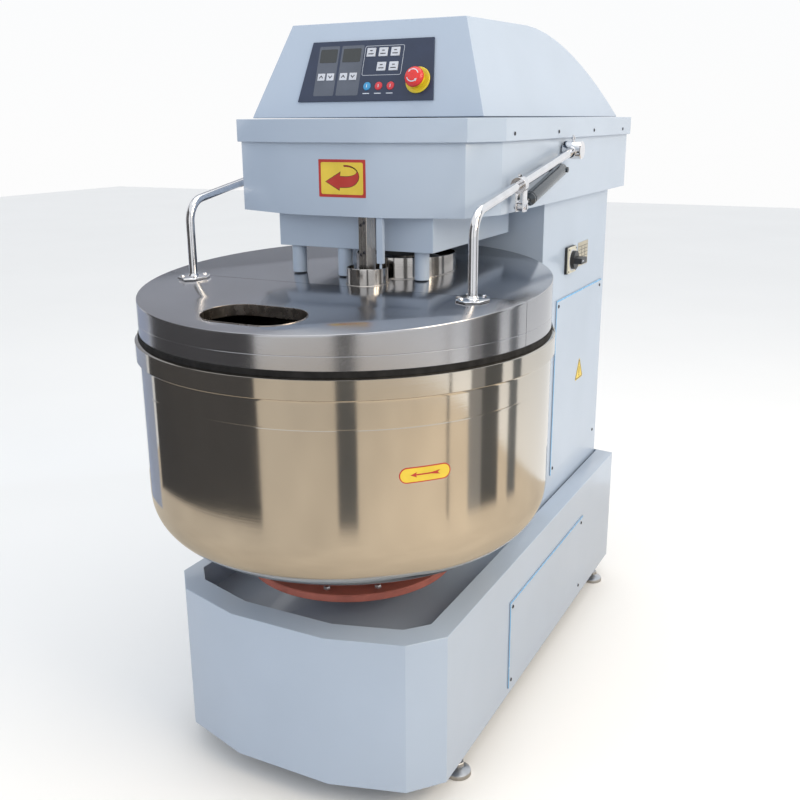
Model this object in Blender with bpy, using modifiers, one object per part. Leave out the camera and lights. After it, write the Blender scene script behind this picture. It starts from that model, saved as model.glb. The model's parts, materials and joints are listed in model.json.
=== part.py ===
"""Spiral dough mixer: faceted sheet-metal base, column and head, a turning bowl under a stainless lid,
a spiral hook, a breaker bar and the belt drives that turn the hook and the bowl.

Frame: +Z up, ground at z = 0, front of the machine towards -Y, origin below the centre of its plan."""

import math

import bmesh
import bpy
from mathutils import Matrix, Vector

# ---------------------------------------------------------------- driving dimensions, metres
GAP = 0.0003            # between pieces that touch
SHEET = 0.003           # casing sheet
STAINLESS = 0.002       # lid sheet
ROUND_STEPS = 48        # bowl and lid
SMALL_STEPS = 20        # collars, pulleys, bosses

FOOT_HEIGHT = 0.055
BASE_HALF = 0.320
BASE_TOP = 0.384
BASE_STRIP = 0.043      # width of the raised border round the deck
BASE_STRIP_RISE = 0.010
BASE_REAR = 0.680
BASE_REAR_STRIP = 0.020
BASE_LIP = 0.040        # return flange under the base
DECK_Z = 0.334
# nose outline as (half width, y) pairs from the front facet to the side wall
BASE_NOSE = ((0.109, -0.616), (0.262, -0.570), (BASE_HALF, -0.504))

COLUMN_HALF = 0.272
COLUMN_FRONT = 0.122
COLUMN_REAR = 0.651

HEAD_HALF = 0.293
HEAD_NOSE = ((0.109, -0.352), (0.256, -0.298), (HEAD_HALF, -0.205))
HEAD_REAR = 0.7395
HEAD_BOTTOM = 1.156
SKIRT_BOTTOM = 1.296
SKIRT_TOP = 1.341
SKIRT_OVERHANG = 0.008

HOOD_LIFT = 0.0027       # keeps the slanting sheet's inner edge off the ledge
HOOD_FRONT_Y = -0.239
HOOD_FRONT_TOP_Y = -0.1715
HOOD_FRONT_TOP_Z = 1.5306
HOOD_HALF_BOTTOM = 0.268
HOOD_HALF_TOP = 0.200
ARCH_CENTRE = (0.180, 0.7007)
ARCH_RADIUS = 0.8388

HUB_LEFT = -0.160
HUB_RIGHT = 0.195
HUB_FRONT = -0.310
HUB_REAR = 0.098
HUB_BOTTOM = 1.0875

BOWL_Y = -0.3125
BOWL_BAND_RADIUS = 0.4278
BOWL_BAND_TOP = 0.928
BOWL_BAND_BOTTOM = 0.8885
BOWL_WALL_RADIUS = 0.4205
BOWL_CORNER_Z = 0.620
BOWL_BOTTOM_Z = 0.486
BOWL_FLAT_RADIUS = 0.170
BOWL_FULLNESS = 0.78       # below 1 the lower corner bulges out past an ellipse
BOWL_WALL = 0.003

LID_RADIUS = 0.4246
LID_BOTTOM = 0.938
LID_MID_TOP = 1.0269    # top plane height over the bowl axis
LID_SLOPE = 0.0697      # rise of the top plane towards the rear
LID_SPLIT_Y = -0.377
LID_SPLIT_GAP = 0.0006
WINDOW_ENDS = ((-0.0545, -0.622), (0.0305, -0.622))
WINDOW_RADIUS = 0.062
WINDOW_WALL = 0.0015    # collar welded into the feed window
WINDOW_DEPTH = 0.020

TURNTABLE_RADIUS = 0.226
TURNTABLE_BOTTOM = 0.410
TURNTABLE_TOP = 0.426

SPIRAL_X = 0.076
SPIRAL_Y = -0.190
SPIRAL_SWEEP = 0.094    # radius of the hook's centre line
HOOK_WIRE = 0.016
HOOK_LOW_Z = 0.545
SHAFT_RADIUS = 0.024

BAR_X = 0.060
BAR_Y = -0.330
BAR_SIZE = 0.0244
BAR_TURN = math.radians(-20)
BAR_BOTTOM = 0.520
BAR_TOP = 1.262

BIG_COLLAR_RADIUS = 0.105
BIG_COLLAR_TOP = 1.072
SMALL_COLLAR_RADIUS = 0.042
SMALL_COLLAR_TOP = 1.057
COLLAR_WALL = 0.0025
BRACKET_TURN = math.radians(-21)    # where the bracket stands on the small collar's rim
BRACKET_SIZE = (0.014, 0.009)

POST_RADIUS = 0.015
POSTS = {
    "left_front": (-0.127, -0.288),
    "middle_front": (-0.013, -0.292),
    "right_front": (0.158, -0.283),
    "rear": (0.000, 0.030),
}

ARM_X = 0.319
ARM_RADIUS = 0.0090
ARM_Y = -0.404          # upright part of the arm
ARM_CORNER_Z = 1.176
ARM_BEND_RADIUS = 0.048
FLANGE_RADIUS = 0.034
FLANGE_THICKNESS = 0.005
PIVOT_Y = 0.172
PIVOT_Z = 1.2695
BOSS_RADIUS = 0.020
BOSS_INNER_X = 0.2965
BOSS_OUTER_X = 0.340

CLAMP_Y = -0.174
CLAMP_RADIUS = 0.0165
LUG_Y = -0.163          # pin of the strut's eye, between two lug plates
LUG_Z = 1.170
LUG_HALF = 0.010
LUG_GAP = 0.012         # between the plates
LUG_PLATE = 0.003
EYE_RADIUS = 0.0085
STRUT_PIVOT_Y = 0.0865
STRUT_PIVOT_Z = 1.2305
STRUT_RADIUS = 0.0140
STRUT_BODY = 0.215
STRUT_ROD_RADIUS = 0.005

PANEL_THICKNESS = 0.002
BASE_PANEL = ((-0.166, 0.390), (0.074, 0.294))       # (y range), (z range)
COLUMN_PANEL = ((0.232, 0.624), (0.455, 0.910))

FASCIA_THICKNESS = 0.003
FASCIA_LOW = 0.035
FASCIA_HIGH = 0.1605
FASCIA_HALF_LOW = 0.156
FASCIA_HALF_HIGH = 0.139
KEY_CLEARANCE = 0.0004
SQUARE_KEY = (0.020, 0.018)
ARROW_KEY = (0.017, 0.015)
ROUND_KEY_RADIUS = 0.0085
KEY_BACK = 0.0016       # above the hood's surface, leaves room for the travel
KEY_FRONT = 0.0046
# key centres on the fascia: (x, distance up the hood's front face)
SQUARE_KEYS = ((0.003, 0.1347), (0.0305, 0.1347), (0.058, 0.1347), (0.0305, 0.105), (0.058, 0.105))
ARROW_KEYS = ((-0.107, 0.086), (-0.0855, 0.086), (-0.0545, 0.086), (-0.032, 0.086))
ROUND_KEYS = ((0.004, 0.065), (0.0305, 0.065), (0.0575, 0.065))
STOP_PLACE = (0.1175, 0.074)
STOP_BASE_RADIUS = 0.0265

SWITCH_Y = 0.320
SWITCH_Z = 1.0005
SWITCH_SIZE = 0.067
SWITCH_THICKNESS = 0.010

FEET = ((-0.300, -0.400), (0.300, -0.400), (-0.300, 0.600), (0.300, 0.600))

MOTOR_Y = 0.430
SPIRAL_BELT_Z = 1.200
BOWL_MOTOR_Y = 0.300
BOWL_BELT_Z = 0.150
PULLEY_HALF = 0.018
BORE_CLEARANCE = 0.0008  # leaves the flats of a faceted bore clear of its shaft

MATERIALS = {           # colour, roughness, metallic
    "enamel": ((0.55, 0.66, 0.78), 0.25, 0.0),
    "stainless": ((0.72, 0.70, 0.67), 0.15, 1.0),
    "chrome": ((0.85, 0.85, 0.86), 0.08, 1.0),
    "red_primer": ((0.55, 0.16, 0.11), 0.6, 0.0),
    "black_rubber": ((0.03, 0.03, 0.03), 0.7, 0.0),
    "black_plastic": ((0.04, 0.04, 0.05), 0.4, 0.0),
    "fascia_navy": ((0.05, 0.07, 0.16), 0.35, 0.0),
    "key_white": ((0.85, 0.86, 0.88), 0.4, 0.0),
    "key_blue": ((0.10, 0.45, 0.75), 0.35, 0.0),
    "key_red": ((0.80, 0.10, 0.12), 0.35, 0.0),
    "stop_red": ((0.78, 0.06, 0.06), 0.3, 0.0),
    "stop_yellow": ((0.90, 0.75, 0.05), 0.4, 0.0),
    "switch_beige": ((0.80, 0.79, 0.70), 0.4, 0.0),
    "strut_black": ((0.05, 0.07, 0.10), 0.3, 0.3),
    "steel": ((0.50, 0.50, 0.52), 0.35, 1.0),
    "cast_iron": ((0.22, 0.24, 0.26), 0.6, 0.6),
}


# ---------------------------------------------------------------- scene and object helpers
def clear_scene():
    for item in list(bpy.data.objects):
        bpy.data.objects.remove(item, do_unlink=True)


def new_collection(name):
    collection = bpy.data.collections.new(name)
    bpy.context.scene.collection.children.link(collection)
    return collection


def make_material(name):
    colour, roughness, metallic = MATERIALS[name]
    material = bpy.data.materials.new(name)
    material.use_nodes = True
    shader = material.node_tree.nodes["Principled BSDF"]
    shader.inputs["Base Color"].default_value = (*colour, 1.0)
    shader.inputs["Roughness"].default_value = roughness
    shader.inputs["Metallic"].default_value = metallic
    return material


clear_scene()
PARTS = new_collection("spiral_mixer")
CUTTERS = new_collection("cutters")
FINISHES = {name: make_material(name) for name in MATERIALS}


def add_object(name, bm, finish, origin=(0, 0, 0)):
    """Turn a bmesh in world coordinates into an object whose origin is the given point."""
    mesh = bpy.data.meshes.new(name)
    bmesh.ops.translate(bm, verts=bm.verts, vec=-Vector(origin))
    bm.to_mesh(mesh)
    bm.free()
    mesh.materials.append(FINISHES[finish])
    item = bpy.data.objects.new(name, mesh)
    item.location = origin
    PARTS.objects.link(item)
    return item


def as_cutter(item):
    PARTS.objects.unlink(item)
    CUTTERS.objects.link(item)
    item.hide_render = True
    item.display_type = "WIRE"
    return item


def combine(item, other, operation):
    modifier = item.modifiers.new(operation.lower(), "BOOLEAN")
    modifier.operation = operation
    modifier.solver = "EXACT"
    modifier.object = as_cutter(other)
    return item


def cut(item, *cutters):
    for cutter in cutters:
        combine(item, cutter, "DIFFERENCE")
    return item


def join(item, *others):
    for other in others:
        combine(item, other, "UNION")
    return item


def solidify(item, thickness):
    modifier = item.modifiers.new("sheet", "SOLIDIFY")
    modifier.thickness = thickness
    modifier.offset = -1
    modifier.use_even_offset = True
    return item


def smooth(item, angle=35):
    item.data.shade_smooth()
    item.data.set_sharp_from_angle(angle=math.radians(angle))
    return item


# ---------------------------------------------------------------- shape helpers
def box(name, low, high, finish, origin=(0, 0, 0)):
    bm = bmesh.new()
    bmesh.ops.create_cube(bm, size=1)
    size = Vector(high) - Vector(low)
    bmesh.ops.scale(bm, vec=size, verts=bm.verts)
    bmesh.ops.translate(bm, verts=bm.verts, vec=(Vector(high) + Vector(low)) / 2)
    return add_object(name, bm, finish, origin)


def axis_matrix(start, end):
    """Places a shape built along +Z at the origin so that it runs from start to end."""
    direction = Vector(end) - Vector(start)
    turn = direction.to_track_quat("Z", "Y").to_matrix().to_4x4()
    return Matrix.Translation(Vector(start)) @ turn


def cylinder(name, start, end, radius, finish, steps=SMALL_STEPS, origin=(0, 0, 0), end_radius=None):
    bm = bmesh.new()
    length = (Vector(end) - Vector(start)).length
    bmesh.ops.create_cone(bm, cap_ends=True, segments=steps, radius1=radius,
                          radius2=end_radius if end_radius is not None else radius, depth=length)
    bmesh.ops.translate(bm, verts=bm.verts, vec=(0, 0, length / 2))
    bmesh.ops.transform(bm, matrix=axis_matrix(start, end), verts=bm.verts)
    return smooth(add_object(name, bm, finish, origin))


def turned(name, profile, finish, centre=(0, 0), steps=SMALL_STEPS, closed=False):
    """A profile of (radius, z) points, from the top down its outer side, turned about a vertical axis."""
    bm = bmesh.new()
    verts = [bm.verts.new((radius, 0, z)) for radius, z in profile]
    for first, second in zip(verts, verts[1:]):
        bm.edges.new((first, second))
    if closed:
        bm.edges.new((verts[-1], verts[0]))
    item = add_object(name, bm, finish)
    item.location = (centre[0], centre[1], 0)
    modifier = item.modifiers.new("turn", "SCREW")
    modifier.steps = steps
    modifier.render_steps = steps
    modifier.use_merge_vertices = True
    modifier.merge_threshold = 0.00005
    modifier.use_smooth_shade = True
    return item


def prism(name, outline, low, high, finish):
    """An upright prism on a counter-clockwise outline of (x, y) points."""
    bm = bmesh.new()
    base = bm.faces.new([bm.verts.new((x, y, low)) for x, y in outline])
    grown = bmesh.ops.extrude_face_region(bm, geom=[base])
    top = [part for part in grown["geom"] if isinstance(part, bmesh.types.BMVert)]
    bmesh.ops.translate(bm, verts=top, vec=(0, 0, high - low))
    bmesh.ops.recalc_face_normals(bm, faces=bm.faces)
    return add_object(name, bm, finish)


def tube(name, points, radius, finish, origin=(0, 0, 0), resolution=2):
    """A round tube along a list of points, as one closed mesh."""
    curve = bpy.data.curves.new(name, "CURVE")
    curve.dimensions = "3D"
    curve.bevel_depth = radius
    curve.bevel_resolution = resolution
    curve.use_fill_caps = True
    spline = curve.splines.new("POLY")
    spline.points.add(len(points) - 1)
    for place, point in zip(spline.points, points):
        place.co = (*point, 1)
    guide = bpy.data.objects.new(name + "_guide", curve)
    CUTTERS.objects.link(guide)
    graph = bpy.context.evaluated_depsgraph_get()
    bm = bmesh.new()
    bm.from_mesh(guide.evaluated_get(graph).to_mesh())
    bmesh.ops.remove_doubles(bm, verts=bm.verts, dist=0.00002)
    bmesh.ops.recalc_face_normals(bm, faces=bm.faces)
    bpy.data.objects.remove(guide, do_unlink=True)
    return smooth(add_object(name, bm, finish, origin))


def faceted_outline(nose, rear, grow=0.0, rear_grow=None):
    """Counter-clockwise plan of a casing with a faceted nose, grown outwards by a distance."""
    right = list(nose) + [(nose[-1][0], rear)]
    points = [(-x, y) for x, y in reversed(right)] + right
    grown = []
    count = len(points)
    for index, point in enumerate(points):
        before = Vector(point) - Vector(points[index - 1])
        after = Vector(points[(index + 1) % count]) - Vector(point)
        normal_before = Vector((before.y, -before.x)).normalized()
        normal_after = Vector((after.y, -after.x)).normalized()
        bisector = (normal_before + normal_after).normalized()
        grown.append(Vector(point) + bisector * grow / bisector.dot(normal_after))
    if rear_grow is not None:
        grown = [Vector((p.x, rear + rear_grow)) if p.y > rear - 0.2 else p for p in grown]
    return [(p.x, p.y) for p in grown]


def folded_sheet(name, rings, finish, thickness=SHEET, floor_first=False, floor_last=False):
    """A sheet through rings of points with the same count; each ring is (outline, z)."""
    bm = bmesh.new()
    loops = [[bm.verts.new((x, y, z)) for x, y in outline] for outline, z in rings]
    for lower, upper in zip(loops, loops[1:]):
        for index in range(len(lower)):
            after = (index + 1) % len(lower)
            bm.faces.new((lower[index], lower[after], upper[after], upper[index]))
    if floor_first:
        bm.faces.new(list(reversed(loops[0])))
    if floor_last:
        bm.faces.new(loops[-1])
    return solidify(add_object(name, bm, finish), thickness)


def arc(centre, radius, start, end, count):
    """Points on an arc, angles in degrees."""
    step = (end - start) / count
    angles = [math.radians(start + step * index) for index in range(count + 1)]
    return [(centre[0] + radius * math.cos(a), centre[1] + radius * math.sin(a)) for a in angles]


# ---------------------------------------------------------------- base and column
def make_base():
    outer = faceted_outline(BASE_NOSE, BASE_REAR)
    lip = faceted_outline(BASE_NOSE, BASE_REAR, -BASE_LIP)
    inner = faceted_outline(BASE_NOSE, BASE_REAR, -BASE_STRIP, -BASE_REAR_STRIP)
    strip_z = BASE_TOP + BASE_STRIP_RISE
    rings = [(lip, FOOT_HEIGHT), (outer, FOOT_HEIGHT), (outer, BASE_TOP), (inner, strip_z), (inner, DECK_Z)]
    base = folded_sheet("base_shell", rings, "enamel", floor_last=True)
    shaft_hole = cylinder("base_shaft_hole", (0, BOWL_Y, DECK_Z - 0.02), (0, BOWL_Y, DECK_Z + 0.02), 0.050, "steel")
    column_hole = box("base_column_hole", (-0.20, 0.20, DECK_Z - 0.02), (0.20, 0.56, DECK_Z + 0.02), "steel")
    cut(base, shaft_hole, column_hole)


def make_feet():
    top = FOOT_HEIGHT - GAP
    profile = [(0, top), (0.008, top), (0.008, 0.030), (0.0135, 0.030), (0.0135, 0.019), (0.009, 0.019),
               (0.009, 0.015), (0.028, 0.011), (0.028, 0.0), (0, 0.0)]
    for name, place in zip(("front_left", "front_right", "rear_left", "rear_right"), FEET):
        turned("foot_" + name, profile, "steel", place, steps=16)


def make_column():
    low = DECK_Z + GAP
    high = HEAD_BOTTOM - GAP
    plan = [(-COLUMN_HALF, COLUMN_FRONT), (COLUMN_HALF, COLUMN_FRONT),
            (COLUMN_HALF, COLUMN_REAR), (-COLUMN_HALF, COLUMN_REAR)]
    folded_sheet("column_shell", [(plan, low), (plan, high)], "enamel")


def make_side_panels():
    """Access panels on the right side of the base and the column."""
    for name, half, (y_range, z_range) in (("base_panel", BASE_HALF, BASE_PANEL),
                                           ("column_panel", COLUMN_HALF, COLUMN_PANEL)):
        low = (half + GAP, y_range[0], z_range[0])
        high = (half + GAP + PANEL_THICKNESS, y_range[1], z_range[1])
        box(name, low, high, "enamel")


def make_main_switch():
    half = SWITCH_SIZE / 2
    near = COLUMN_HALF + GAP
    face = near + SWITCH_THICKNESS
    low = (near, SWITCH_Y - half, SWITCH_Z - half)
    box("switch_plate", low, (face, SWITCH_Y + half, SWITCH_Z + half), "switch_beige")
    start = (face + GAP, SWITCH_Y, SWITCH_Z)
    disc_end = (face + 0.010, SWITCH_Y, SWITCH_Z)
    knob = cylinder("switch_knob", start, disc_end, 0.023, "black_plastic", origin=start)
    grip = box("switch_grip", (face + 0.004, SWITCH_Y - 0.022, SWITCH_Z - 0.007),
               (face + 0.030, SWITCH_Y + 0.022, SWITCH_Z + 0.007), "black_plastic")
    join(knob, grip)


# ---------------------------------------------------------------- head
def make_head():
    outline = faceted_outline(HEAD_NOSE, HEAD_REAR)
    head = folded_sheet("head_shell", [(outline, HEAD_BOTTOM), (outline, SKIRT_TOP - 0.006)], "enamel",
                        floor_first=True)
    shaft_hole = cylinder("head_shaft_hole", (SPIRAL_X, SPIRAL_Y, HEAD_BOTTOM - 0.02),
                          (SPIRAL_X, SPIRAL_Y, HEAD_BOTTOM + 0.02), 0.050, "steel")
    belt_hole = box("head_column_hole", (-0.20, 0.20, HEAD_BOTTOM - 0.02), (0.20, 0.58, HEAD_BOTTOM + 0.02), "steel")
    bar_hole = turned_square("head_bar_hole", HEAD_BOTTOM - 0.02, HEAD_BOTTOM + 0.02, BAR_SIZE + 2 * GAP)
    pivot_hole = cylinder("head_pivot_hole", (-0.4, PIVOT_Y, PIVOT_Z), (0.4, PIVOT_Y, PIVOT_Z), 0.0105, "steel", 16)
    cut(head, shaft_hole, belt_hole, bar_hole, pivot_hole)


def make_head_rim():
    """The cover's lower frame: a skirt outside the head casing and a ledge that carries the hood."""
    low = faceted_outline(HEAD_NOSE, HEAD_REAR, SKIRT_OVERHANG)
    inner_half = HOOD_HALF_BOTTOM - 0.020
    ledge_nose = ((0.109, -0.221), (0.20, -0.219), (inner_half, -0.19))
    inner = faceted_outline(ledge_nose, 0.700)
    rings = [(low, SKIRT_BOTTOM), (low, SKIRT_TOP), (inner, SKIRT_TOP)]
    folded_sheet("head_rim", rings, "enamel")


def hood_half(z):
    share = (z - SKIRT_TOP) / (HOOD_FRONT_TOP_Z - SKIRT_TOP)
    return HOOD_HALF_BOTTOM + share * (HOOD_HALF_TOP - HOOD_HALF_BOTTOM)


def make_hood():
    bottom = SKIRT_TOP + HOOD_LIFT
    low_angle = math.degrees(math.asin((bottom - ARCH_CENTRE[1]) / ARCH_RADIUS))
    lean = (HOOD_FRONT_TOP_Y - HOOD_FRONT_Y) / (HOOD_FRONT_TOP_Z - SKIRT_TOP)
    side = [(HOOD_FRONT_Y + lean * HOOD_LIFT, bottom), (HOOD_FRONT_TOP_Y, HOOD_FRONT_TOP_Z)]
    side += arc(ARCH_CENTRE, ARCH_RADIUS, 90, low_angle, 10)
    bm = bmesh.new()
    left = [bm.verts.new((-hood_half(z), y, z)) for y, z in side]
    right = [bm.verts.new((hood_half(z), y, z)) for y, z in side]
    for index in range(len(side) - 1):
        bm.faces.new((left[index], right[index], right[index + 1], left[index + 1]))
    bm.faces.new(list(reversed(right)))
    bm.faces.new(left)
    solidify(add_object("head_hood", bm, "enamel"), STAINLESS)


def make_hub_housing():
    top = HEAD_BOTTOM - GAP
    plan = [(HUB_LEFT, HUB_FRONT), (HUB_RIGHT, HUB_FRONT), (HUB_RIGHT, HUB_REAR), (HUB_LEFT, HUB_REAR)]
    housing = folded_sheet("hub_housing", [(plan, HUB_BOTTOM), (plan, top)], "enamel", floor_first=True)
    hole = cylinder("hub_hole", (SPIRAL_X, SPIRAL_Y, HUB_BOTTOM - 0.02), (SPIRAL_X, SPIRAL_Y, HUB_BOTTOM + 0.02),
                    0.062, "steel")
    cut(housing, hole)


# ---------------------------------------------------------------- control panel on the hood's front face
def face_matrix():
    """Local x across, y up the hood's front face, z out of it."""
    up = Vector((0, HOOD_FRONT_TOP_Y - HOOD_FRONT_Y, HOOD_FRONT_TOP_Z - SKIRT_TOP)).normalized()
    across = Vector((1, 0, 0))
    out = across.cross(up)
    turn = Matrix((across, up, out)).transposed().to_4x4()
    return Matrix.Translation((0, HOOD_FRONT_Y, SKIRT_TOP)) @ turn


FACE = face_matrix()


def on_face(item, place=(0, 0)):
    item.matrix_world = FACE @ Matrix.Translation((place[0], place[1], 0))
    return item


def key_block(name, size, place, finish):
    low = (-size[0] / 2, -size[1] / 2, KEY_BACK)
    return on_face(box(name, low, (size[0] / 2, size[1] / 2, KEY_FRONT), finish), place)


def key_hole(name, size, place):
    wide = size[0] / 2 + KEY_CLEARANCE
    tall = size[1] / 2 + KEY_CLEARANCE
    return on_face(box(name, (-wide, -tall, -0.01), (wide, tall, 0.01), "steel"), place)


def make_control_panel():
    outline = [(-FASCIA_HALF_LOW, FASCIA_LOW), (FASCIA_HALF_LOW, FASCIA_LOW),
               (FASCIA_HALF_HIGH, FASCIA_HIGH), (-FASCIA_HALF_HIGH, FASCIA_HIGH)]
    fascia = on_face(prism("control_fascia", outline, GAP, GAP + FASCIA_THICKNESS, "fascia_navy"))
    for kind, size, places in (("square_key", SQUARE_KEY, SQUARE_KEYS), ("arrow_key", ARROW_KEY, ARROW_KEYS)):
        for number, place in enumerate(places, 1):
            key_block(f"{kind}_{number}", size, place, "key_white")
            cut(fascia, key_hole(f"{kind}_hole_{number}", size, place))
    for number, place in enumerate(ROUND_KEYS, 1):
        finish = "key_blue" if number == 1 else "key_red"
        key = cylinder(f"round_key_{number}", (0, 0, KEY_BACK), (0, 0, KEY_FRONT), ROUND_KEY_RADIUS, finish, 16)
        on_face(key, place)
        hole = cylinder(f"round_key_hole_{number}", (0, 0, -0.01), (0, 0, 0.01), ROUND_KEY_RADIUS + KEY_CLEARANCE,
                        "steel", 16)
        cut(fascia, on_face(hole, place))


def make_emergency_stop():
    back = GAP * 2 + FASCIA_THICKNESS
    ring = [(0.0130, 0.0125), (0.0165, 0.0125), (0.0165, back + 0.003), (STOP_BASE_RADIUS, back + 0.003),
            (STOP_BASE_RADIUS, back),
            (0.0130, back)]
    on_face(turned("stop_base", ring, "stop_yellow", closed=True), STOP_PLACE)
    mushroom = [(0, 0.0315), (0.010, 0.0310), (0.0170, 0.0285), (0.0200, 0.0240), (0.0200, 0.0185), (0.0120, 0.0180),
                (0.0120, 0.0090), (0, 0.0090)]
    on_face(turned("stop_button", mushroom, "stop_red"), STOP_PLACE)


# ---------------------------------------------------------------- bowl
def bowl_outer():
    """Outer side of the bowl from the band's foot down to the axis."""
    points = [(BOWL_WALL_RADIUS, BOWL_BAND_BOTTOM)]
    count = 10
    for index in range(count + 1):
        angle = math.radians(90 * index / count)
        radius = BOWL_FLAT_RADIUS + (BOWL_WALL_RADIUS - BOWL_FLAT_RADIUS) * math.cos(angle) ** BOWL_FULLNESS
        height = BOWL_CORNER_Z - (BOWL_CORNER_Z - BOWL_BOTTOM_Z) * math.sin(angle) ** BOWL_FULLNESS
        points.append((radius, height))
    return points


def make_bowl():
    outer = bowl_outer()
    wall = BOWL_WALL
    inner = [(BOWL_FLAT_RADIUS, BOWL_BOTTOM_Z + wall)]
    for radius, z in reversed(outer[1:-1]):
        share = (BOWL_CORNER_Z - z) / (BOWL_CORNER_Z - BOWL_BOTTOM_Z)
        inner.append((radius - wall * math.sqrt(max(0.0, 1 - share * share)), z + wall * share))
    profile = [(BOWL_BAND_RADIUS, BOWL_BAND_TOP), (BOWL_BAND_RADIUS, BOWL_BAND_BOTTOM)] + outer
    profile += [(0, BOWL_BOTTOM_Z), (0, BOWL_BOTTOM_Z + wall)] + inner
    profile += [(BOWL_WALL_RADIUS - wall, BOWL_BAND_TOP)]
    turned("bowl", profile, "stainless", (0, BOWL_Y), steps=ROUND_STEPS, closed=True)


def make_turntable():
    hub_top = BOWL_BOTTOM_Z - GAP
    profile = [(0, hub_top), (0.120, hub_top), (0.120, hub_top - 0.012), (0.085, hub_top - 0.020),
               (0.085, TURNTABLE_TOP), (TURNTABLE_RADIUS, TURNTABLE_TOP), (TURNTABLE_RADIUS, TURNTABLE_BOTTOM),
               (0.060, TURNTABLE_BOTTOM), (0.060, TURNTABLE_BOTTOM - 0.020), (SHAFT_RADIUS, TURNTABLE_BOTTOM - 0.020),
               (SHAFT_RADIUS, BOWL_BELT_Z - 0.030), (0, BOWL_BELT_Z - 0.030)]
    turned("bowl_turntable", profile, "red_primer", (0, BOWL_Y), steps=32)


def pulley_rim(z, radius, half=PULLEY_HALF):
    """Outer side of a flat-belt pulley with rims, from the top down."""
    rim = radius + 0.006
    return [(rim, z + half), (rim, z + half - 0.004), (radius, z + half - 0.004),
            (radius, z - half + 0.004), (rim, z - half + 0.004), (rim, z - half)]


def driven_pulley(name, centre, z, radius):
    bore = SHAFT_RADIUS + BORE_CLEARANCE
    profile = [(bore, z + PULLEY_HALF), *pulley_rim(z, radius), (bore, z - PULLEY_HALF)]
    turned(name, profile, "cast_iron", centre, closed=True)


def motor_pulley(name, centre, z, radius, shaft_end):
    """A small pulley in one piece with the shaft that comes out of the motor."""
    if shaft_end > z:
        profile = [(0, shaft_end), (0.012, shaft_end), (0.012, z + PULLEY_HALF), *pulley_rim(z, radius),
                   (0, z - PULLEY_HALF)]
    else:
        profile = [(0, z + PULLEY_HALF), *pulley_rim(z, radius), (0.012, z - PULLEY_HALF), (0.012, shaft_end),
                   (0, shaft_end)]
    turned(name, profile, "cast_iron", centre)


def belt(name, first, first_radius, second, second_radius, z):
    """A flat belt round two pulleys whose centres lie one behind the other."""
    reach = Vector(second) - Vector(first)
    tilt = math.degrees(math.asin((first_radius - second_radius) / reach.length))
    heading = math.degrees(math.atan2(reach.y, reach.x))

    def loop(offset):
        open_side = 90 - tilt
        near = arc(first, first_radius + offset, heading + open_side, heading + 360 - open_side, 14)
        far = arc(second, second_radius + offset, heading - open_side, heading + open_side, 8)
        return near + far

    outer = prism(name, loop(0.0055), z - 0.012, z + 0.012, "black_rubber")
    cut(outer, prism(name + "_inside", loop(0.0015), z - 0.02, z + 0.02, "steel"))


def motor(name, centre, low, high, radius):
    profile = [(0, high), (radius * 0.85, high), (radius, high - 0.015), (radius, low + 0.02), (radius * 0.8, low),
               (0, low)]
    turned(name, profile, "cast_iron", centre)


def make_bowl_drive():
    centre = (0, BOWL_Y)
    housing = [(0.0265, DECK_Z + 0.020), (0.044, DECK_Z + 0.020), (0.044, DECK_Z - SHEET - GAP),
               (0.090, DECK_Z - SHEET - GAP), (0.090, DECK_Z - SHEET - 0.015), (0.050, DECK_Z - SHEET - 0.015),
               (0.050, 0.195), (0.0265, 0.195)]
    turned("bowl_bearing_housing", housing, "cast_iron", centre, closed=True)
    driven_pulley("bowl_pulley", centre, BOWL_BELT_Z, 0.140)
    motor_centre = (0, BOWL_MOTOR_Y)
    motor("bowl_motor", motor_centre, 0.190, 0.320, 0.080)
    motor_pulley("bowl_motor_pulley", motor_centre, BOWL_BELT_Z, 0.040, 0.190 - GAP)
    belt("bowl_belt", centre, 0.140, motor_centre, 0.040, BOWL_BELT_Z)


# ---------------------------------------------------------------- spiral drive, hook and breaker bar
def make_hook():
    top_z = 0.900
    turns = 1.35
    count = 40
    points = [(SPIRAL_X, SPIRAL_Y, top_z + 0.03)]
    for index in range(count + 1):
        share = index / count
        angle = math.radians(60) + share * turns * 2 * math.pi
        spread = min(1.0, share / 0.16, (1 - share) / 0.10 + 0.35)
        radius = SPIRAL_SWEEP * math.sin(min(1.0, spread) * math.pi / 2)
        z = top_z + (HOOK_LOW_Z - top_z) * share
        points.append((SPIRAL_X + radius * math.cos(angle), SPIRAL_Y + radius * math.sin(angle), z))
    hook = tube("spiral_hook", points, HOOK_WIRE, "stainless", origin=(SPIRAL_X, SPIRAL_Y, 0))
    shaft = cylinder("spiral_shaft", (SPIRAL_X, SPIRAL_Y, top_z - 0.005), (SPIRAL_X, SPIRAL_Y, SPIRAL_BELT_Z + 0.025),
                     SHAFT_RADIUS, "stainless")
    flange = cylinder("spiral_flange", (SPIRAL_X, SPIRAL_Y, 1.040), (SPIRAL_X, SPIRAL_Y, 1.062), 0.072, "stainless")
    join(hook, shaft, flange)


def make_spiral_drive():
    centre = (SPIRAL_X, SPIRAL_Y)
    housing = [(0.0265, 1.172), (0.046, 1.172), (0.046, 1.1520), (0.058, 1.1520), (0.058, 1.070), (0.0265, 1.070)]
    turned("spiral_bearing_housing", housing, "cast_iron", centre, closed=True)
    driven_pulley("spiral_pulley", centre, SPIRAL_BELT_Z, 0.100)
    motor_centre = (SPIRAL_X, MOTOR_Y)
    motor("spiral_motor", motor_centre, 0.820, 1.130, 0.110)
    motor_pulley("spiral_motor_pulley", motor_centre, SPIRAL_BELT_Z, 0.045, 1.130 + GAP)
    belt("spiral_belt", centre, 0.100, motor_centre, 0.045, SPIRAL_BELT_Z)


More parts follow.
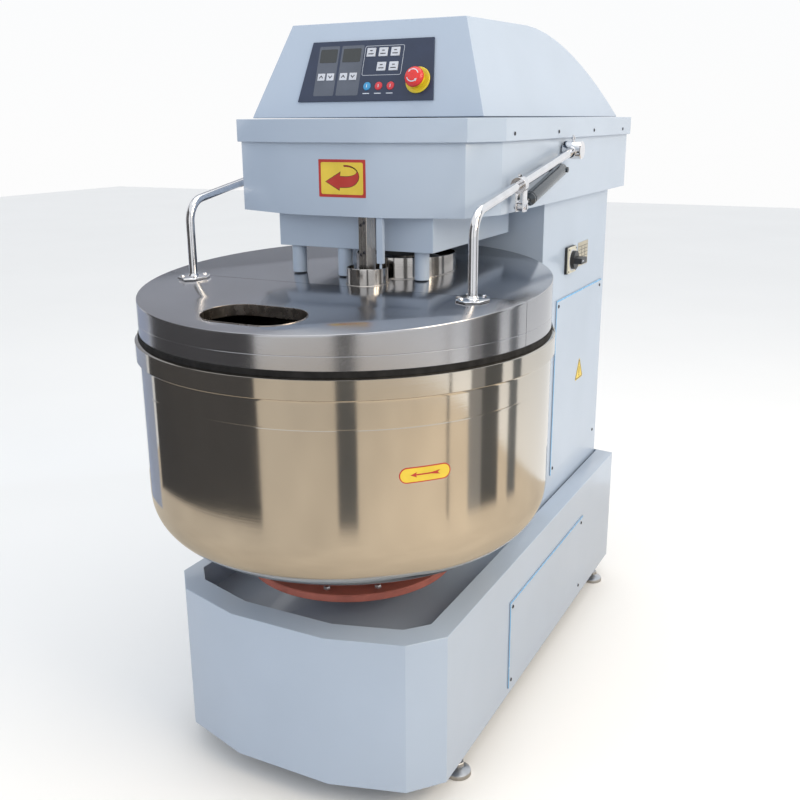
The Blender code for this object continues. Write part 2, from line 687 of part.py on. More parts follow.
def turned_square(name, low, high, size, finish="steel"):
    half = size / 2
    bar = box(name, (-half, -half, low), (half, half, high), finish)
    bar.location = (BAR_X, BAR_Y, 0)
    bar.rotation_euler = (0, 0, BAR_TURN)
    return bar


def make_breaker_bar():
    turned_square("breaker_bar", BAR_BOTTOM, BAR_TOP, BAR_SIZE, "stainless")


# ---------------------------------------------------------------- lid
def lid_top(y):
    return LID_MID_TOP + LID_SLOPE * (y - BOWL_Y)


def lid_sheet(name, front):
    """Half of the lid as a sheet: side wall and sloping top, cut at the split line."""
    bm = bmesh.new()
    lower = []
    upper = []
    for index in range(ROUND_STEPS):
        angle = 2 * math.pi * index / ROUND_STEPS
        x = LID_RADIUS * math.cos(angle)
        y = BOWL_Y + LID_RADIUS * math.sin(angle)
        lower.append(bm.verts.new((x, y, LID_BOTTOM)))
        upper.append(bm.verts.new((x, y, lid_top(y))))
    for index in range(ROUND_STEPS):
        after = (index + 1) % ROUND_STEPS
        bm.faces.new((lower[index], lower[after], upper[after], upper[index]))
    bm.faces.new(upper)
    split = LID_SPLIT_Y + (-LID_SPLIT_GAP if front else LID_SPLIT_GAP)
    everything = bm.verts[:] + bm.edges[:] + bm.faces[:]
    bmesh.ops.bisect_plane(bm, geom=everything, plane_co=(0, split, 0), plane_no=(0, 1, 0),
                           clear_outer=front, clear_inner=not front)
    return solidify(add_object(name, bm, "stainless"), STAINLESS)


def window_outline(grow=0.0):
    """Feed window: a stadium along X near the lid's front left."""
    left = arc(WINDOW_ENDS[0], WINDOW_RADIUS + grow, 90, 270, 8)
    right = arc(WINDOW_ENDS[1], WINDOW_RADIUS + grow, -90, 90, 8)
    return left + right


def wall_from_lid(name, outline, end):
    """An upright band from the middle of the lid's sheet to the height that end gives for each y."""
    bm = bmesh.new()
    start = [bm.verts.new((x, y, lid_top(y) - STAINLESS / 2)) for x, y in outline]
    finish = [bm.verts.new((x, y, end(y))) for x, y in outline]
    for index in range(len(outline)):
        after = (index + 1) % len(outline)
        bm.faces.new((start[index], start[after], finish[after], finish[index]))
    bmesh.ops.recalc_face_normals(bm, faces=bm.faces)
    return smooth(add_object(name, bm, "stainless"))


def make_lid():
    front = lid_sheet("lid_front", True)
    window = prism("lid_window", window_outline(), 0.95, 1.10, "steel")
    inset = WINDOW_WALL - GAP / 2
    collar_wall = wall_from_lid("window_collar", window_outline(inset), lambda y: lid_top(y) - WINDOW_DEPTH)
    join(cut(front, window), solidify(collar_wall, WINDOW_WALL))
    rear = lid_sheet("lid_rear", False)
    bar_hole = cylinder("lid_bar_hole", (BAR_X, BAR_Y, 0.95), (BAR_X, BAR_Y, 1.1), SMALL_COLLAR_RADIUS - 0.004,
                        "steel")
    hub_hole = cylinder("lid_hub_hole", (SPIRAL_X, SPIRAL_Y, 0.95), (SPIRAL_X, SPIRAL_Y, 1.1), 0.085, "steel")
    cut(rear, bar_hole, hub_hole)
    add_collars(rear)


def collar(name, centre, radius, top):
    """An upright ring with a level rim, let into the sloping lid."""
    ring = arc(centre, radius, 0, 360, SMALL_STEPS)[:-1]
    return solidify(wall_from_lid(name, ring, lambda y: top), COLLAR_WALL)


def add_collars(lid):
    """Weld the spiral's ring and the breaker bar's smaller ring, open at the rear, to the lid."""
    big = collar("hub_collar", (SPIRAL_X, SPIRAL_Y), BIG_COLLAR_RADIUS, BIG_COLLAR_TOP)
    small = collar("bar_collar", (BAR_X, BAR_Y), SMALL_COLLAR_RADIUS, SMALL_COLLAR_TOP)
    opening = box("bar_collar_opening", (BAR_X - 0.06, BAR_Y + 0.012, 1.0), (BAR_X + 0.06, BAR_Y + 0.06, 1.1),
                  "steel")
    cut(small, opening)
    join(lid, big, small)


def make_collar_bracket():
    """Narrow bracket under the head that ties the small collar's rim."""
    reach = SMALL_COLLAR_RADIUS - COLLAR_WALL / 2
    x = BAR_X + reach * math.cos(BRACKET_TURN)
    y = BAR_Y + reach * math.sin(BRACKET_TURN)
    foot = SMALL_COLLAR_TOP + GAP
    low = (x - BRACKET_SIZE[0] / 2, y - BRACKET_SIZE[1] / 2, foot + 0.010)
    high = (x + BRACKET_SIZE[0] / 2, y + BRACKET_SIZE[1] / 2, HEAD_BOTTOM - GAP)
    arm = box("collar_bracket", low, high, "enamel")
    stud = cylinder("collar_stud", (x, y, foot), (x, y, foot + 0.020), 0.0025, "enamel", 12)
    join(arm, stud)


def make_posts():
    for name, (x, y) in POSTS.items():
        foot = lid_top(y + POST_RADIUS) + GAP
        cylinder("post_" + name, (x, y, foot), (x, y, HUB_BOTTOM - GAP), POST_RADIUS, "enamel", 20)


def arm_path(side):
    """Centre line of a lid arm, from the pivot boss down to the flange on the lid."""
    slope = (PIVOT_Z - ARM_CORNER_Z) / (PIVOT_Y - ARM_Y)
    turn = math.pi / 2 - math.atan(slope)
    reach = ARM_BEND_RADIUS * math.tan(turn / 2)
    along = Vector((PIVOT_Y - ARM_Y, PIVOT_Z - ARM_CORNER_Z)).normalized()
    corner = Vector((ARM_Y, ARM_CORNER_Z))
    start = corner + along * reach
    centre = Vector((ARM_Y + ARM_BEND_RADIUS, ARM_CORNER_Z - reach))
    first = math.atan2(start.y - centre.y, start.x - centre.x)
    points = [Vector((PIVOT_Y, PIVOT_Z)), start]
    steps = 8
    for index in range(1, steps + 1):
        angle = first + (math.pi - first) * index / steps
        points.append(centre + ARM_BEND_RADIUS * Vector((math.cos(angle), math.sin(angle))))
    points.append(Vector((ARM_Y, lid_top(ARM_Y) + 0.0035)))
    return [(side * ARM_X, y, z) for y, z in points]


def make_lid_arms():
    for side, name in ((-1, "left"), (1, "right")):
        pivot = (side * ARM_X, PIVOT_Y, PIVOT_Z)
        arm = tube(f"lid_arm_{name}", arm_path(side), ARM_RADIUS, "chrome", origin=pivot)
        tilt = Vector((0, -LID_SLOPE, 1)).normalized()
        foot = Vector((side * ARM_X, ARM_Y, lid_top(ARM_Y))) + tilt * GAP * 2
        flange = cylinder(f"arm_flange_{name}", foot, foot + tilt * FLANGE_THICKNESS, FLANGE_RADIUS, "chrome", 12)
        boss = cylinder(f"pivot_boss_{name}", (side * BOSS_INNER_X, PIVOT_Y, PIVOT_Z),
                        (side * BOSS_OUTER_X, PIVOT_Y, PIVOT_Z), BOSS_RADIUS, "chrome")
        join(arm, flange, boss)
    reach = BOSS_INNER_X - GAP
    cylinder("lid_pivot_shaft", (-reach, PIVOT_Y, PIVOT_Z), (reach, PIVOT_Y, PIVOT_Z), 0.0100, "steel", 16,
             origin=(0, PIVOT_Y, PIVOT_Z))


def arm_height(y):
    slope = (PIVOT_Z - ARM_CORNER_Z) / (PIVOT_Y - ARM_Y)
    return PIVOT_Z + slope * (y - PIVOT_Y)


def make_clamps_and_struts():
    along = Vector((0, PIVOT_Y - ARM_Y, PIVOT_Z - ARM_CORNER_Z)).normalized()
    for side, name in ((-1, "left"), (1, "right")):
        centre = Vector((side * ARM_X, CLAMP_Y, arm_height(CLAMP_Y)))
        ring = cylinder(f"strut_clamp_{name}", centre - along * 0.009, centre + along * 0.009, CLAMP_RADIUS,
                        "chrome")
        for number, inner in enumerate((LUG_GAP / 2, -LUG_GAP / 2 - LUG_PLATE)):
            lug_x = side * ARM_X + inner
            lug = box(f"clamp_lug_{name}_{number}", (lug_x, LUG_Y - LUG_HALF, LUG_Z - LUG_HALF),
                      (lug_x + LUG_PLATE, LUG_Y + LUG_HALF, centre.z - 0.010), "chrome")
            join(ring, lug)
        bore = cylinder(f"clamp_bore_{name}", centre - along * 0.03, centre + along * 0.03, ARM_RADIUS + 0.0002,
                        "chrome")
        cut(ring, bore)
        make_strut(side, name)


def make_strut(side, name):
    """Gas strut below the arm: its body turns on a stud in the head's side, its rod on the clamp's lugs."""
    x = side * ARM_X
    rear = Vector((x, STRUT_PIVOT_Y, STRUT_PIVOT_Z))
    front = Vector((x, LUG_Y, LUG_Z))
    along = (front - rear).normalized()
    body = cylinder(f"strut_body_{name}", rear - along * 0.010, rear + along * STRUT_BODY, STRUT_RADIUS,
                    "strut_black", origin=rear)
    stud_end = (side * (HEAD_HALF + 2 * GAP), rear.y, rear.z)
    stud = cylinder(f"strut_stud_{name}", rear, stud_end, 0.006, "strut_black", 12)
    bore = cylinder(f"strut_bore_{name}", rear + along * 0.016, rear + along * 0.25, STRUT_ROD_RADIUS + 0.0002,
                    "strut_black", 16)
    cut(join(body, stud), bore)
    rod = cylinder(f"strut_rod_{name}", rear + along * 0.022, front, STRUT_ROD_RADIUS, "chrome", 16, origin=rear)
    half = LUG_GAP / 2 - GAP
    eye = cylinder(f"strut_eye_{name}", (x - half, LUG_Y, LUG_Z), (x + half, LUG_Y, LUG_Z), EYE_RADIUS, "chrome", 16)
    join(rod, eye)


def main():
    make_base()
    make_feet()
    make_column()
    make_side_panels()
    make_main_switch()
    make_head()
    make_head_rim()
    make_hood()
    make_hub_housing()
    make_control_panel()
    make_emergency_stop()
    make_bowl()
    make_turntable()
    make_bowl_drive()
    make_hook()
    make_spiral_drive()
    make_breaker_bar()
    make_lid()
    make_collar_bracket()
    make_posts()
    make_lid_arms()
    make_clamps_and_struts()


main()
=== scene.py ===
"""Looks of the spiral dough mixer: rounded casings, polished bowl and lid, control panel, stickers and
screws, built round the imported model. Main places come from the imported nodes' boxes and joints; the sizes
of small parts are written here, in metres."""

import json
from math import asin, atan, atan2, cos, degrees, pi, radians, sin, sqrt, tan

import bmesh
import bpy
from mathutils import Matrix, Vector


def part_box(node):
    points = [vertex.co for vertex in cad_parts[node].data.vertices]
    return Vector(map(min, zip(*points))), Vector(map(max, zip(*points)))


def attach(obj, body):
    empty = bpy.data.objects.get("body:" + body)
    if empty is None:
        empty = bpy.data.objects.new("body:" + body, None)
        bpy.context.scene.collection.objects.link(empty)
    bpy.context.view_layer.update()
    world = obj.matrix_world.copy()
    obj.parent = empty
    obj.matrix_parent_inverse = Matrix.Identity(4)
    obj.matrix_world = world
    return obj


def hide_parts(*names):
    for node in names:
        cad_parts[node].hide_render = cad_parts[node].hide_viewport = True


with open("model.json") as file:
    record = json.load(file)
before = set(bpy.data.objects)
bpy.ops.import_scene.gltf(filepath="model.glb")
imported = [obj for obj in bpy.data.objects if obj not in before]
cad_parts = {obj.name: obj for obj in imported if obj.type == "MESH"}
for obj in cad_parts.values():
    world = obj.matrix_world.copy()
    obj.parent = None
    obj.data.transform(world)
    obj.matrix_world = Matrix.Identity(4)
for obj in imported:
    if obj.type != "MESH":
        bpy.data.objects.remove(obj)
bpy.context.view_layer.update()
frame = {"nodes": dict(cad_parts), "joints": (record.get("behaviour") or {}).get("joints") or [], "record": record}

TAU = 2 * pi
ROUND = 192                 # sides of the bowl and the lid


# ---------------- reading the frame
def centre(node):
    low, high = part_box(node)
    return (low + high) / 2


def joint_place(name):
    """The point and the axis of a joint, in the row frame."""
    for joint in frame["joints"]:
        if joint["name"] == name:
            return Vector(joint.get("pos_m", (0, 0, 0))), Vector(joint["axis"]).normalized()
    raise KeyError(name)


def body_of(node):
    for name, nodes in frame["record"]["behaviour"]["bodies"].items():
        if node in nodes:
            return name
    raise KeyError(node)


# ---------------- node trees
class Tree:
    """A short way to write a material's nodes."""

    def __init__(self, name, slot=None):
        self.material = bpy.data.materials.new(name)
        self.material.use_nodes = True
        self.nodes = self.material.node_tree.nodes
        self.links = self.material.node_tree.links
        self.shader = self.nodes["Principled BSDF"]

    def add(self, kind, **inputs):
        node = self.nodes.new("ShaderNode" + kind)
        for key, value in inputs.items():
            node.inputs[key.replace("_", " ")].default_value = value
        return node

    def link(self, source, target):
        self.links.new(source, target)

    def noise(self, scale, detail=2.0, roughness=0.5, stretch=(1, 1, 1)):
        mapping = self.add("Mapping", Scale=stretch)
        self.link(self.add("TexCoord").outputs["Object"], mapping.inputs["Vector"])
        texture = self.add("TexNoise", Scale=scale, Detail=detail, Roughness=roughness)
        self.link(mapping.outputs["Vector"], texture.inputs["Vector"])
        return texture.outputs["Fac"]

    def ramp(self, source, stops):
        ramp = self.add("ValToRGB")
        for element, (position, colour) in zip(ramp.color_ramp.elements, stops):
            element.position = position
            element.color = (*colour, 1)
        self.link(source, ramp.inputs["Fac"])
        return ramp.outputs["Color"]

    def spread(self, source, low, high, start=0.3, end=0.7):
        """Map a 0 to 1 signal to a range of values."""
        node = self.add("MapRange", From_Min=start, From_Max=end, To_Min=low, To_Max=high)
        self.link(source, node.inputs["Value"])
        return node.outputs["Result"]

    def roughen(self, *spread):
        self.link(self.spread(*spread), self.shader.inputs["Roughness"])

    def bump(self, height, strength, distance, before=None):
        node = self.add("Bump", Strength=strength, Distance=distance)
        self.link(height, node.inputs["Height"])
        if before is not None:
            self.link(before, node.inputs["Normal"])
        self.link(node.outputs["Normal"], self.shader.inputs["Normal"])
        return node.outputs["Normal"]

    def set(self, **values):
        for key, value in values.items():
            self.shader.inputs[key.replace("_", " ")].default_value = value
        return self


def varied_colour(tree, base, amount, scale, stretch=(1, 1, 1), detail=3.0):
    """Base colour that drifts lighter and darker by a small share."""
    dark = tuple(channel * (1 - amount) for channel in base)
    light = tuple(min(1.0, channel * (1 + amount)) for channel in base)
    drift = tree.noise(scale, detail, 0.55, stretch)
    tree.link(tree.ramp(drift, [(0.3, dark), (0.7, light)]), tree.shader.inputs["Base Color"])


def enamel_material():
    """Sprayed gloss enamel on sheet steel: faint orange peel, soft clouding, a thin clear gloss."""
    tree = Tree("enamel_paint", "enamel")
    tree.set(Metallic=0.0, Coat_Weight=0.35, Coat_Roughness=0.12, Specular_IOR_Level=0.5)
    varied_colour(tree, (0.365, 0.44, 0.552), 0.03, 3.5)
    tree.roughen(tree.noise(9.0, 3.0), 0.28, 0.34, 0.2, 0.8)
    tree.bump(tree.noise(260.0, 1.5), 0.06, 0.0004)
    return tree.material


def steel_material(name, slot, base, rough, line_stretch, line_strength=0.1, wave=0.0, drift=0.1):
    """Polished stainless sheet: fine drawn lines, uneven polish and slight waves."""
    tree = Tree(name, slot).set(Metallic=1.0)
    varied_colour(tree, base, drift, 2.6, (1, 1, 0.5))
    lines = tree.noise(1.0, 4.0, 0.7, line_stretch)
    polish = tree.add("Math")
    polish.operation = "MULTIPLY_ADD"
    tree.link(tree.spread(tree.noise(4.0, 2.0), *rough), polish.inputs[0])
    tree.link(tree.spread(lines, 0.85, 1.15), polish.inputs[1])
    polish.inputs[2].default_value = 0.0
    tree.link(polish.outputs["Value"], tree.shader.inputs["Roughness"])
    last = tree.bump(lines, line_strength, 0.0002)
    if wave:
        tree.bump(tree.noise(3.2, 1.0), wave, 0.01, last)
    return tree.material


def chrome_material():
    tree = Tree("bright_chrome", "chrome").set(Metallic=1.0)
    varied_colour(tree, (0.8, 0.8, 0.82), 0.05, 30.0)
    tree.roughen(tree.noise(60.0, 2.0), 0.05, 0.13)
    tree.bump(tree.noise(90.0, 1.0), 0.03, 0.0003)
    return tree.material


def simple(name, slot, base, rough, metallic=0.0, grain=600.0, grain_strength=0.1, coat=0.0, drift=0.08):
    """Moulded, cast or painted surface with a fine grain and uneven gloss."""
    tree = Tree(name, slot).set(Metallic=metallic, Coat_Weight=coat)
    varied_colour(tree, base, drift, 25.0)
    tree.roughen(tree.noise(50.0, 3.0), rough * 0.85, min(1.0, rough * 1.2))
    tree.bump(tree.noise(grain, 2.0), grain_strength, 0.0003)
    return tree.material


FLAT_LINES, WALL_LINES, ROD_LINES = (4, 380, 380), (5, 5, 420), (300, 300, 6)      # how drawn lines run

ENAMEL = enamel_material()
BOWL_STEEL = steel_material("bowl_polish", "bowl_steel", (0.58, 0.545, 0.49), (0.07, 0.13), WALL_LINES, 0.1, 0.06)
LID_STEEL = steel_material("lid_polish", "lid_steel", (0.48, 0.48, 0.5), (0.13, 0.21), FLAT_LINES, 0.08, 0.06, 0.08)
LID_SIDE_STEEL = steel_material("lid_side_polish", "lid_steel", (0.56, 0.54, 0.52), (0.07, 0.14), WALL_LINES,
                                0.1, 0.04)
TOOL_STEEL = steel_material("tool_satin", "lid_steel", (0.58, 0.55, 0.52), (0.2, 0.3), ROD_LINES, 0.12)
EDGE_STEEL = simple("edge_steel", "lid_steel", (0.4, 0.36, 0.33), 0.26, metallic=1.0, drift=0.15)
CHROME = chrome_material()
STRUT = simple("strut_gloss", "strut_black", (0.018, 0.028, 0.04), 0.22, coat=0.5)
PRIMER = simple("red_oxide_primer", "red_primer", (0.36, 0.11, 0.085), 0.62, grain=380.0, grain_strength=0.25,
                drift=0.18)
ZINC = simple("zinc_plate", "foot_steel", (0.52, 0.54, 0.57), 0.32, metallic=1.0, drift=0.12)
IRON = simple("cast_iron_dark", None, (0.12, 0.13, 0.14), 0.6, metallic=0.6, grain=300.0, grain_strength=0.4)
MOTOR = simple("motor_paint", None, (0.08, 0.13, 0.18), 0.45, coat=0.2)
BELT = simple("belt_rubber", None, (0.012, 0.012, 0.012), 0.75, grain=500.0, grain_strength=0.3)
SEAL = simple("seal_rubber", "belt_rubber", (0.004, 0.004, 0.005), 0.85)
NAVY = simple("fascia_film", None, (0.02, 0.032, 0.07), 0.36, coat=0.08, drift=0.1)
GREY_PRINT = simple("fascia_grey_print", "fascia_navy", (0.085, 0.1, 0.135), 0.35)
DISPLAY = simple("display_window", "fascia_navy", (0.026, 0.031, 0.034), 0.18, coat=0.4)
PALE_PRINT = simple("pale_print", "key_white", (0.52, 0.56, 0.64), 0.4)
KEY_WHITE = simple("key_cap_white", None, (0.5, 0.53, 0.6), 0.42)
KEY_BLUE = simple("key_cap_blue", "key_blue", (0.035, 0.26, 0.52), 0.32, coat=0.3)
KEY_RED = simple("key_cap_red", "key_red", (0.55, 0.03, 0.045), 0.32, coat=0.3)
STOP_RED = simple("stop_red", "stop_red", (0.62, 0.022, 0.02), 0.28, coat=0.4)
STOP_YELLOW = simple("stop_yellow", "stop_yellow", (0.62, 0.48, 0.02), 0.38, coat=0.2)
BEIGE = simple("switch_beige", "switch_beige", (0.55, 0.54, 0.46), 0.42)
KNOB_BLACK = simple("knob_black", "switch_black", (0.016, 0.018, 0.022), 0.35)
STICKER_YELLOW = simple("sticker_yellow", "stop_yellow", (0.66, 0.49, 0.045), 0.35)
STICKER_RED = simple("sticker_red", "key_red", (0.42, 0.03, 0.022), 0.35)
STICKER_BLACK = simple("sticker_black", "switch_black", (0.02, 0.02, 0.022), 0.4)
FILM_BLUE = simple("film_blue", "key_blue", (0.1, 0.36, 0.66), 0.25, coat=0.3)
PLATE_METAL = simple("rating_plate", "foot_steel", (0.5, 0.46, 0.36), 0.35, metallic=0.6)
SCREW_DARK = simple("screw_dark", "foot_steel", (0.06, 0.06, 0.07), 0.35, metallic=0.8)


# ---------------- making pieces
def new_object(name, bm):
    """Turn a bmesh into an object of the scene."""
    mesh = bpy.data.meshes.new(name)
    bm.to_mesh(mesh)
    bm.free()
    thing = bpy.data.objects.new(name, mesh)
    bpy.context.scene.collection.objects.link(thing)
    return thing


def add_piece(name, bm, material, body="machine", smooth_angle=35):
    piece = new_object(name, bm)
    piece.data.materials.append(material)
    piece.data.shade_smooth()
    piece.data.set_sharp_from_angle(angle=radians(smooth_angle))
    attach(piece, body)
    return piece


def bevel(piece, width, segments=3):
    modifier = piece.modifiers.new("round_edges", "BEVEL")
    modifier.width = width
    modifier.segments = segments
    modifier.limit_method = "ANGLE"
    modifier.angle_limit = radians(30)
    modifier.harden_normals = True
    modifier.use_clamp_overlap = True


def rounded_copy(node, material, width, segments=3):
    """The node's own shape with its flat faces restored and its edges rounded."""
    bm = bmesh.new()
    bm.from_mesh(frame["nodes"][node].data)
    bmesh.ops.remove_doubles(bm, verts=bm.verts, dist=0.00001)
    bmesh.ops.dissolve_limit(bm, angle_limit=radians(1.5), verts=bm.verts, edges=bm.edges)
    for face in bm.faces:
        face.material_index = 0
    piece = add_piece(node + "_finish", bm, material, body_of(node))
    bevel(piece, width, segments)
    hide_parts(node)


def turn_outwards(bm):
    bmesh.ops.recalc_face_normals(bm, faces=bm.faces)


def skin(bm, loops):
    """Faces between each closed loop of vertices and the next."""
    for first, second in zip(loops, loops[1:]):
        for i in range(len(first)):
            j = (i + 1) % len(first)
            bm.faces.new((first[i], first[j], second[j], second[i]))


def circle(x, y, radius, steps=48):
    return [(x + radius * cos(TAU * i / steps), y + radius * sin(TAU * i / steps)) for i in range(steps)]


def arc(x, y, radius, first, last, steps):
    """Points on a circle from one angle to another, in degrees."""
    angles = [radians(first + (last - first) * i / steps) for i in range(steps + 1)]
    return [(x + radius * cos(angle), y + radius * sin(angle)) for angle in angles]


def turned(name, profile, matrix, material, body="machine", steps=64, closed=False):
    """A (radius, height) profile, top down its outer side, turned about the matrix's Z axis."""
    bm = bmesh.new()
    rings = [[bm.verts.new((x, y, height)) for x, y in (circle(0, 0, radius, steps) if radius else [(0, 0)])]
             for radius, height in profile]
    if closed:
        rings.append(rings[0])
    for upper, lower in zip(rings, rings[1:]):
        for i in range(steps):
            j = (i + 1) % steps
            corners = (upper[i % len(upper)], lower[i % len(lower)], lower[j % len(lower)], upper[j % len(upper)])
            unique = list(dict.fromkeys(corners))
            if len(unique) > 2:
                bm.faces.new(unique)
    bmesh.ops.transform(bm, matrix=matrix, verts=bm.verts)
    return add_piece(name, bm, material, body)


def rounded_profile(points, radius, steps=4):
    """Replace each inner corner of a (radius, height) profile by a small arc."""
    result = [points[0]]
    for before, corner, after in zip(points, points[1:], points[2:]):
        corner = Vector(corner)
        towards = Vector(before) - corner
        onward = Vector(after) - corner
        reach = min(radius, towards.length * 0.45, onward.length * 0.45)
        first = corner + towards.normalized() * reach
        last = corner + onward.normalized() * reach
        for index in range(steps + 1):
            share = index / steps
            point = first * (1 - share) ** 2 + corner * 2 * share * (1 - share) + last * share ** 2
            result.append((point.x, point.y))
    result.append(points[-1])
    return result


def upright(place, z=0.0):
    return Matrix.Translation((place.x, place.y, z))


def facing(place, direction, up=(0, 0, 1)):
    """A frame at a place whose Z axis looks along a direction and whose Y axis is near up."""
    out = Vector(direction).normalized()
    across = Vector(up).cross(out).normalized()
    turn = Matrix((across, out.cross(across), out)).transposed().to_4x4()
    return Matrix.Translation(Vector(place)) @ turn


def tube_mesh(points, radius, sides=32):
    """A bmesh tube along points that lie in one upright plane, with flat ends."""
    bm = bmesh.new()
    rings = []
    across = Vector((1, 0, 0))
    for index, point in enumerate(points):
        ahead = points[min(index + 1, len(points) - 1)] - points[max(index - 1, 0)]
        high = ahead.normalized().cross(across).normalized()
        rings.append([bm.verts.new(point + radius * (cos(TAU * i / sides) * across +
                                                     sin(TAU * i / sides) * high)) for i in range(sides)])
    skin(bm, rings)
    bm.faces.new(rings[0][::-1])
    bm.faces.new(rings[-1])
    turn_outwards(bm)
    return bm


def slab(name, outline, low, high, matrix, material, body="machine", edge=0.0):
    """A flat plate on a counter-clockwise outline in the matrix's XY plane."""
    bm = bmesh.new()
    floor, roof = ([bm.verts.new((x, y, z)) for x, y in outline] for z in (low, high))
    bm.faces.new(floor[::-1])
    bm.faces.new(roof)
    skin(bm, (floor, roof))
    bmesh.ops.transform(bm, matrix=matrix, verts=bm.verts)
    piece = add_piece(name, bm, material, body)
    if edge:
        bevel(piece, edge, 2)
    return piece


def rectangle(x0, y0, x1, y1, radius=0.0, steps=4):
    """A rectangle with rounded corners, counter-clockwise."""
    if radius <= 0:
        return [(x0, y0), (x1, y0), (x1, y1), (x0, y1)]
    left, right, low, high = x0 + radius, x1 - radius, y0 + radius, y1 - radius
    return [point for x, y, start in ((right, low, -90), (right, high, 0), (left, high, 90), (left, low, 180))
            for point in arc(x, y, radius, start, start + 90, steps)]


def plate(half_width, half_height, radius=0.0, steps=4):
    """A rectangle with rounded corners, centred on the origin."""
    return rectangle(-half_width, -half_height, half_width, half_height, radius, steps)


def ring_plate(name, outer, inner, low, high, matrix, material):
    """A flat plate between two outlines with the same number of points."""
    bm = bmesh.new()
    levels = [[bm.verts.new((x, y, z)) for x, y in outline]
              for outline, z in ((outer, low), (outer, high), (inner, high), (inner, low))]
    skin(bm, levels + levels[:1])
    bmesh.ops.transform(bm, matrix=matrix, verts=bm.verts)
    turn_outwards(bm)
    add_piece(name, bm, material)


# ---------------- casings
CASING_EDGES = {"base_shell": 0.0035, "column_shell": 0.0022, "head_shell": 0.0022, "head_rim": 0.0022,
                "head_hood": 0.004, "hub_housing": 0.0022, "collar_bracket": 0.001, "base_panel": 0.0008,
                "column_panel": 0.0008}
RIM_SCREW_Y = (-0.16, 0.116, 0.39, 0.662)
PANEL_SCREW_INSET = 0.016


def make_casings():
    for node, width in CASING_EDGES.items():
        rounded_copy(node, ENAMEL, width)


def screw(name, matrix, radius):
    """A dark pan-head screw."""
    profile = [(0, 0.45), (0.55, 0.42), (0.9, 0.22), (1, 0), (0.98, -0.2), (0, -0.2)]
    turned(name, [(x * radius, z * radius) for x, z in profile], matrix, SCREW_DARK, steps=20)


def make_casing_screws():
    low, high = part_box("head_rim")
    for side, label in ((1, "right"), (-1, "left")):
        for number, y in enumerate(RIM_SCREW_Y, 1):
            place = (side * (high.x + 0.0002), y, (low.z + high.z) / 2 - 0.008)
            screw(f"rim_screw_{label}_{number}", facing(place, (side, 0, 0)), 0.0042)
    for label in ("base", "column"):
        low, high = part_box(f"{label}_panel")
        spots = [(y, z) for y in (low.y + PANEL_SCREW_INSET, high.y - PANEL_SCREW_INSET)
                 for z in (low.z + PANEL_SCREW_INSET, high.z - PANEL_SCREW_INSET)]
        for number, (y, z) in enumerate(spots, 1):
            screw(f"{label}_panel_screw_{number}", facing((high.x + 0.0002, y, z), (1, 0, 0)), 0.0045)


# ---------------- bowl and turntable
def make_bowl():
    """The open bowl: a smooth band at the rim, a pressed bead below it and a full, rounded lower corner."""
    middle = centre("bowl")
    low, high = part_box("bowl")
    band_radius = (high.x - low.x) / 2
    wall = band_radius - 0.0073
    thickness = 0.003
    foot = high.z - 0.0395              # of the band
    corner_z = low.z + 0.134
    depth = corner_z - low.z
    flat_radius = 0.17
    fullness = 0.78                     # 1 gives an ellipse, less gives a fuller corner
    steps = 28
    outer = [(band_radius - 0.006, high.z), (band_radius, high.z - 0.003), (band_radius, foot + 0.0015),
             (band_radius - 0.0015, foot), (wall + 0.0006, foot - 0.0008)]
    bead = ((0, 0.004), (0, 0.006), (0, 0.0505), (0, 0.0515), (0.0003, 0.0525), (0, 0.0535), (0, 0.0545))
    outer += [(wall - inset, foot - drop) for inset, drop in bead]
    outer.append((wall, corner_z + 0.006))
    curve = []
    for index in range(steps + 1):
        angle = radians(90 * index / steps)
        curve.append((flat_radius + (wall - flat_radius) * cos(angle) ** fullness,
                      corner_z - depth * sin(angle) ** fullness))
    inner = [(flat_radius, low.z + thickness)]
    for radius, z in reversed(curve[1:-1]):
        share = (corner_z - z) / depth
        inner.append((radius - thickness * sqrt(max(0.0, 1 - share * share)), z + thickness * share))
    inner += [(wall - thickness, high.z - 0.004), (wall - thickness + 0.002, high.z)]
    profile = outer + curve + [(0, low.z), (0, low.z + thickness)] + inner
    bowl = turned("bowl_finish", profile, upright(middle), BOWL_STEEL, "bowl", ROUND, closed=True)
    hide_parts("bowl")
    return middle, wall


def make_turntable():
    middle = centre("bowl_turntable")
    low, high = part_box("bowl_turntable")
    radius = (high.x - low.x) / 2
    top, bottom = 0.426, 0.41
    profile = [(0, high.z), (0.12, high.z), (0.12, high.z - 0.012), (0.085, high.z - 0.02), (0.085, top + 0.004),
               (0.089, top), (radius - 0.002, top), (radius, top - 0.002), (radius, bottom + 0.002),
               (radius - 0.002, bottom), (0.06, bottom), (0.06, bottom - 0.02), (0.024, bottom - 0.02),
               (0.024, low.z), (0, low.z)]
    disc = turned("turntable_finish", profile, upright(middle), PRIMER, "bowl", 96)
    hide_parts("bowl_turntable")
    bolt = [(0, 0.006), (0.0065, 0.006), (0.0075, 0.0045), (0.0075, 0), (0, 0)]
    count, bolt_circle = 12, 0.2
    for index in range(count):
        angle = TAU * (index + 0.5) / count
        place = middle + bolt_circle * Vector((cos(angle), sin(angle), 0))
        turned(f"turntable_bolt_{index + 1}", bolt, upright(place, top), ZINC, "bowl", 6)


